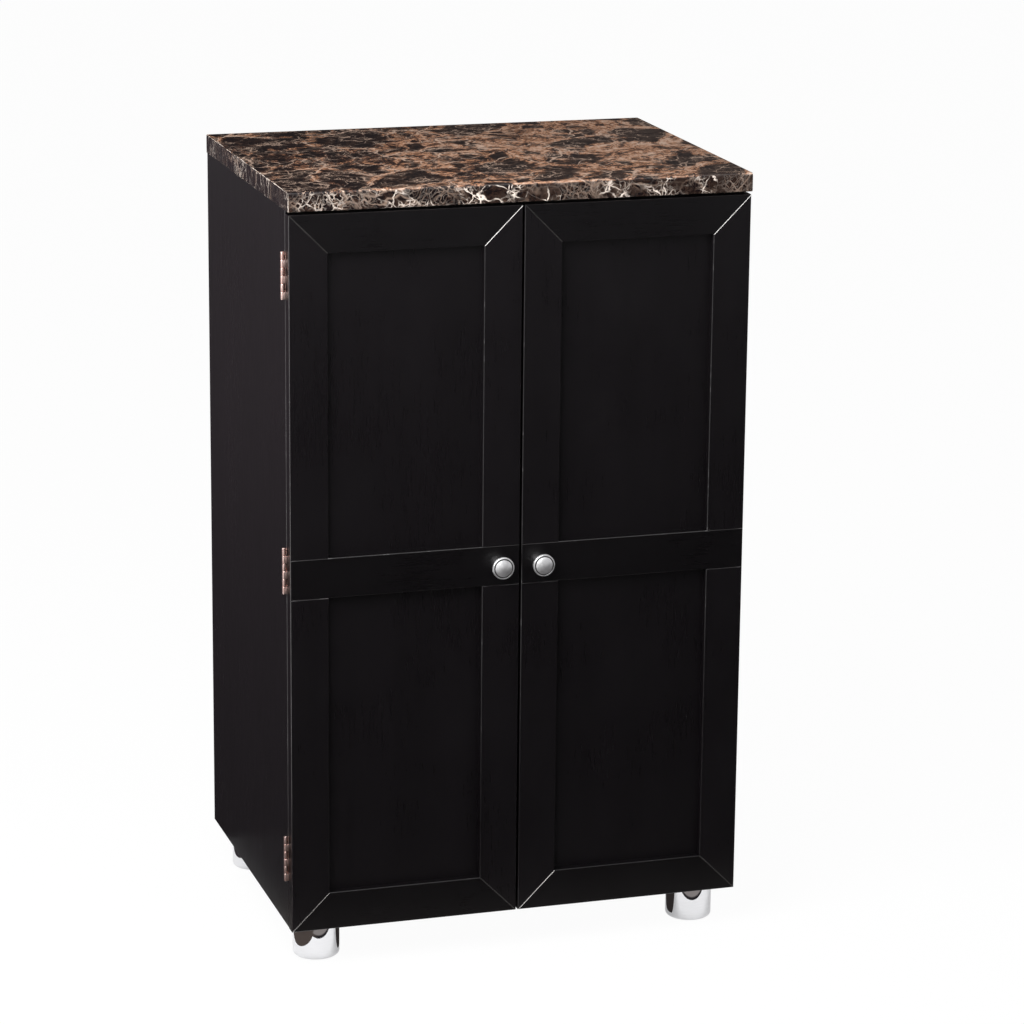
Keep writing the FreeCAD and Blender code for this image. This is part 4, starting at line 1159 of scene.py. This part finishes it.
class CABINET_OT_catches(bpy.types.Operator):
    """Build the magnetic catches with their poles and screws, and the strike plates"""

    bl_idname = "cabinet.catches"
    bl_label = "Catches"

    plastic_index, steel_index = 0, 1
    slot_reach = 0.0022
    slot_depth = 0.0005
    twist = (30.0, 50.0)

    # The length of a flange's two ends, in radii of the screw heads on them.
    head_radii = 5.5

    def catch(self, sizes, low, high):
        """A flange with a screw at each end, and under it a case that holds two steel poles."""
        mesh = new_mesh()
        middle = (low + high) / 2
        front = low.y + sizes.pole_proud
        flange_low = high.z - sizes.catch_flange
        edges = add_box(mesh, (low.x, front, flange_low), high)
        rounded(mesh, running(edges, Z), 2 * sizes.catch_flange, 6)
        soften(mesh, sharp_edges(mesh), sizes.catch_arris / 2)
        half = sizes.catch_case / 2
        case = add_box(mesh, (middle.x - half, front, low.z), (middle.x + half, high.y, flange_low + OVERLAP))
        soften(mesh, case, sizes.catch_arris, 3)
        moulded = set(mesh.faces)
        reach = sizes.pole_width / 2
        depth = (low.z + flange_low) / 2
        spare = high.x - low.x - sizes.catch_case
        head = spare / self.head_radii
        head_thick = PAN_HEIGHT * head
        for sign in SIDES.values():
            inner = depth + sign * sizes.pole_gap / 2
            levels = sorted((inner, inner + sign * sizes.pole_thick))
            soften(mesh, add_box(mesh, (middle.x - reach, low.y, levels[0]),
                                 (middle.x + reach, middle.y, levels[1])), sizes.catch_arris / 3)
            screw = pan_screw(sizes, head, head_thick + sizes.catch_flange)
            across = middle.x + sign * (half + spare / 4)
            place = Matrix.Translation((across, middle.y, flange_low - head_thick))
            add_copy(mesh, screw, place @ twisted(sign, *self.twist))
            screw.free()
        for face in mesh.faces:
            face.material_index = self.plastic_index if face in moulded else self.steel_index
        return mesh

    def strike(self, sizes, low, high):
        """A small plate with round corners, held by one screw."""
        mesh = new_mesh()
        rounded(mesh, running(add_box(mesh, low, high), Y), sizes.strike_corner, 6)
        soften(mesh, sharp_edges(mesh), sizes.catch_arris / 3)
        tool = new_mesh()
        middle = (low + high) / 2
        centre = Vector((middle.x, high.y, middle.z))
        thin = sizes.slot_width / 2
        for long_x, long_z in ((self.slot_reach, thin), (thin, self.slot_reach)):
            half = Vector((long_x, self.slot_depth, long_z))
            add_box(tool, centre - half, centre + half)
        return carved(mesh, tool)

    def execute(self, context):
        sizes = context.scene.cabinet_sizes
        for side in SIDES:
            node = f"{side}_magnetic_catch"
            place_piece(self.catch(sizes, *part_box(node)), f"{side}_screwed_catch", CARCASS,
                        [plastic(), steel()], node)
            node = f"{side}_strike_plate"
            place_piece(self.strike(sizes, *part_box(node)), f"{side}_screwed_strike", f"{side}_door",
                        [steel()], node)
        return {"FINISHED"}


class CABINET_OT_stage(bpy.types.Operator):
    """Lay the floor, stand the backdrop and the glowing cards that paint reflections and shade, and set the
    lamps and the camera
    """

    bl_idname = "cabinet.stage"
    bl_label = "Stage"

    floor_half = 30.0
    wall_sides = 96
    wall_radius = 12.0
    wall_height = 3.4
    white_seen = 0.965
    white_mirrored = 0.45
    sight = 200.0
    card_hole = ((-0.335, -0.290), (0.46, 0.30))
    card_reach = ((-9.0, -9.0), (9.0, 9.0))
    card_lift = 0.004
    # A dark card under the cabinet: painted shade of the floor there, seen only in reflections.
    under_card = ((0.0, 0.02, card_lift), 0.23, 0.20)
    rear_card = ((1.2, 6.0, 4.0), 6.0, 3.2)
    floor_tones = {
        "near": (0.045, 0.038, 0.043),
        "far": (0.095, 0.079, 0.089),
        "front": (0.02, 0.018, 0.02),
        "beside": (0.9, 0.9, 0.9),
        "foot": (0.085, 0.068, 0.060),
        "strip": (0.26, 0.235, 0.227),
    }
    under_tone = (0.03, 0.025, 0.024)
    rear_tones = ((0.02, 0.018, 0.019), (0.055, 0.050, 0.049))
    sky_tones = ((0.06, 0.06, 0.063), (0.60, 0.60, 0.61))

    # Each lamp's place, what it is aimed at, its width and height, and the setting that holds its power.
    lamps = {
        "key": ((-1.0, -0.95, 1.78), (0.0, -0.15, 0.62), (1.3, 1.25), "key_power"),
        "overhead": ((0.1, -0.5, 3.3), (0.0, -0.1, 0.5), (2.2, 2.2), "top_power"),
        "fill": ((2.4, -1.9, 1.3), (0.0, 0.0, 0.6), (1.4, 1.4), "fill_power"),
    }

    def pale(self, studio):
        """Pale and matt for the lamps, and white to the eye and in metal, so that the shadow stays faint."""
        material, paint = start_finish("studio_white")
        seen = paint.node("ShaderNodeLightPath", {}, {}, "Is Camera Ray")
        mirrored = seen.output("Is Glossy Ray") + seen.output("Is Transmission Ray")
        white = self.white_seen * seen + self.white_mirrored * mirrored
        matt = paint.node("ShaderNodeBsdfDiffuse", {}, {"Color": studio.floor})
        paint.end(paint.node("ShaderNodeMixShader", {}, {0: white, 1: matt, 2: paint.shine((1.0, 1.0, 1.0))}))
        return material

    def floor_grey(self, paint, near, far, front, beside, foot, strip):
        """Painted reflections on a card: dark grey that pales outwards behind the cabinet, from near to far,
        and is dark in front of it.

        It has tones of its own in front at the left, by the left front foot and in a strip before the feet.
        """
        across, back, _ = paint.parts(paint.places())
        radius = (across * across + back * back) ** 0.5
        tone = paint.blend(radius.ramp(0.3, 4.0), near, far)
        tone = paint.blend(back.ramp(0.3, -0.3), tone, front)
        tone = paint.blend(across.ramp(-0.7, -1.3) * back.ramp(0.2, -0.4), tone, beside)
        by_foot = across.ramp(-0.52, -0.38) * across.ramp(-0.28, -0.34)
        tone = paint.blend(by_foot * back.ramp(0.10, -0.10), tone, foot)
        before_feet = back.ramp(-0.305, -0.320) * back.ramp(-0.43, -0.38) * across.ramp(-0.36, -0.33)
        return paint.blend(before_feet, tone, strip)

    def rear_grey(self, paint, left, right):
        """A painted reflection: dark grey that pales from the left to the right behind the cabinet."""
        return paint.blend(paint.parts(paint.places())[X].ramp(1.0, 2.8), left, right)

    def flat(self, place, width, height, tilt=Matrix.Identity(4)):
        """A rectangle about a place, given by half its width and half its height."""
        mesh = bmesh.new()
        spread = Matrix.Translation(place) @ tilt @ Matrix.Diagonal((width, height, 1.0, 1.0))
        bmesh.ops.create_grid(mesh, x_segments=1, y_segments=1, size=1.0, matrix=spread)
        return mesh

    def wall(self):
        """A round wall, open at the top."""
        mesh = bmesh.new()
        bmesh.ops.create_circle(mesh, cap_ends=False, segments=self.wall_sides, radius=self.wall_radius)
        raised = bmesh.ops.extrude_edge_only(mesh, edges=mesh.edges[:])["geom"]
        corners = [item for item in raised if isinstance(item, bmesh.types.BMVert)]
        bmesh.ops.translate(mesh, verts=corners, vec=(0.0, 0.0, self.wall_height))
        return mesh

    def holed(self):
        """A wide sheet just over the floor with a hole where the cabinet stands."""
        mesh = bmesh.new()
        for low, high in (self.card_hole, self.card_reach):
            middle = (Vector(low) + Vector(high)) / 2
            half = (Vector(high) - Vector(low)) / 2
            place = (Matrix.Translation((*middle, self.card_lift)) @ Matrix.Diagonal((*half, 1.0, 1.0))
                     @ Matrix.Rotation(math.pi / 4, 4, "Z"))
            bmesh.ops.create_circle(mesh, cap_ends=False, segments=4, radius=math.sqrt(2.0), matrix=place)
        bmesh.ops.bridge_loops(mesh, edges=mesh.edges[:])
        return mesh

    def show(self, mesh, name, material):
        data = data_of(mesh, name)
        data.materials.append(material)
        thing = linked(name, data)
        return thing

    def card(self, mesh, name, tone_of, *tones, **more):
        """A glowing card that only gloss sees, a painted reflection: it neither shows nor takes light from
        the cabinet.
        """
        material, paint = start_finish(name)
        paint.end(paint.shine(tone_of(paint, *tones, **more)))
        thing = self.show(mesh, name, material)
        thing.visible_camera = False
        thing.visible_diffuse = False
        thing.visible_transmission = False
        thing.visible_shadow = False

    def lamp(self, name, place, aim, size, watts):
        data = bpy.data.lights.new(name, "AREA")
        data.shape = "RECTANGLE"
        data.size, data.size_y = size
        data.energy = watts
        thing = linked(name, data)
        thing.location = place
        thing.rotation_euler = (Vector(aim) - Vector(place)).to_track_quat("-Z", "Y").to_euler()
        thing.visible_camera = False

    def sky(self):
        """A soft dome: grey overhead, nearly dark above the wall."""
        world = bpy.data.worlds.new("studio")
        world.use_nodes = True
        bpy.context.scene.world = world
        paint = Finish(world.node_tree)
        way = paint.node("ShaderNodeTexCoord", {}, {}, "Generated")
        tone = paint.blend(paint.parts(way)[Z].ramp(0.15, 0.95), *self.sky_tones)
        light = paint.node("ShaderNodeBackground", {}, {"Color": tone, "Strength": 1.0})
        paint.node("ShaderNodeOutputWorld", {}, {"Surface": light})

    def camera(self, studio):
        data = bpy.data.cameras.new("camera")
        data.sensor_width = SENSOR
        data.lens = studio.lens
        data.shift_x = studio.shift_across
        data.shift_y = studio.shift_up
        data.clip_end = self.sight
        thing = linked("camera", data)
        turned = Matrix.Rotation(-studio.yaw, 4, "Z") @ Matrix.Rotation(math.pi / 2 - studio.pitch, 4, "X")
        thing.matrix_world = (Matrix.Translation(studio.camera) @ turned
                              @ Matrix.Rotation(studio.roll, 4, "Z"))
        bpy.context.scene.camera = thing

    def execute(self, context):
        studio = context.scene.cabinet_studio
        white = self.pale(studio)
        self.show(self.flat((0.0, 0.0, 0.0), self.floor_half, self.floor_half), "floor", white)
        self.show(self.wall(), "backdrop", white)
        self.card(self.holed(), "floor_card", self.floor_grey, **self.floor_tones)
        self.card(self.flat(*self.under_card), "under_card", lambda paint: self.under_tone)
        self.card(self.flat(*self.rear_card, FORWARD), "rear_card", self.rear_grey, *self.rear_tones)
        self.sky()
        for name, (place, aim, size, setting) in self.lamps.items():
            self.lamp(name, place, aim, size, getattr(studio, setting))
        self.camera(studio)
        context.scene.view_settings.view_transform = "Standard"
        return {"FINISHED"}


OPERATORS = (
    CABINET_OT_slab,
    CABINET_OT_carcass,
    CABINET_OT_doors,
    CABINET_OT_hinges,
    CABINET_OT_knobs,
    CABINET_OT_feet,
    CABINET_OT_racks,
    CABINET_OT_fixings,
    CABINET_OT_catches,
    CABINET_OT_stage,
)


class CABINET_PT_build(bpy.types.Panel):
    """Sizes, colours and steps of the cabinet"""

    bl_idname = "CABINET_PT_build"
    bl_label = "Bar cabinet"
    bl_space_type = "VIEW_3D"
    bl_region_type = "UI"
    bl_category = "Cabinet"

    def draw(self, context):
        scene = context.scene
        for group in (scene.cabinet_finishes, scene.cabinet_sizes, scene.cabinet_studio):
            box = self.layout.box()
            for name in group.__annotations__:
                box.prop(group, name)
        for step in OPERATORS:
            self.layout.operator(step.bl_idname)


GROUPS = {
    "cabinet_finishes": CabinetFinishes,
    "cabinet_sizes": CabinetSizes,
    "cabinet_studio": CabinetStudio,
}


def register():
    for item in (*GROUPS.values(), *OPERATORS, CABINET_PT_build):
        bpy.utils.register_class(item)
    for name, group in GROUPS.items():
        setattr(bpy.types.Scene, name, bpy.props.PointerProperty(type=group))


def unregister():
    for name in GROUPS:
        delattr(bpy.types.Scene, name)
    for item in reversed((*GROUPS.values(), *OPERATORS, CABINET_PT_build)):
        bpy.utils.unregister_class(item)


def main():
    register()
    for step in OPERATORS:
        family, name = step.bl_idname.split(".")
        getattr(getattr(bpy.ops, family), name)()


if __name__ == "__main__":
    main()
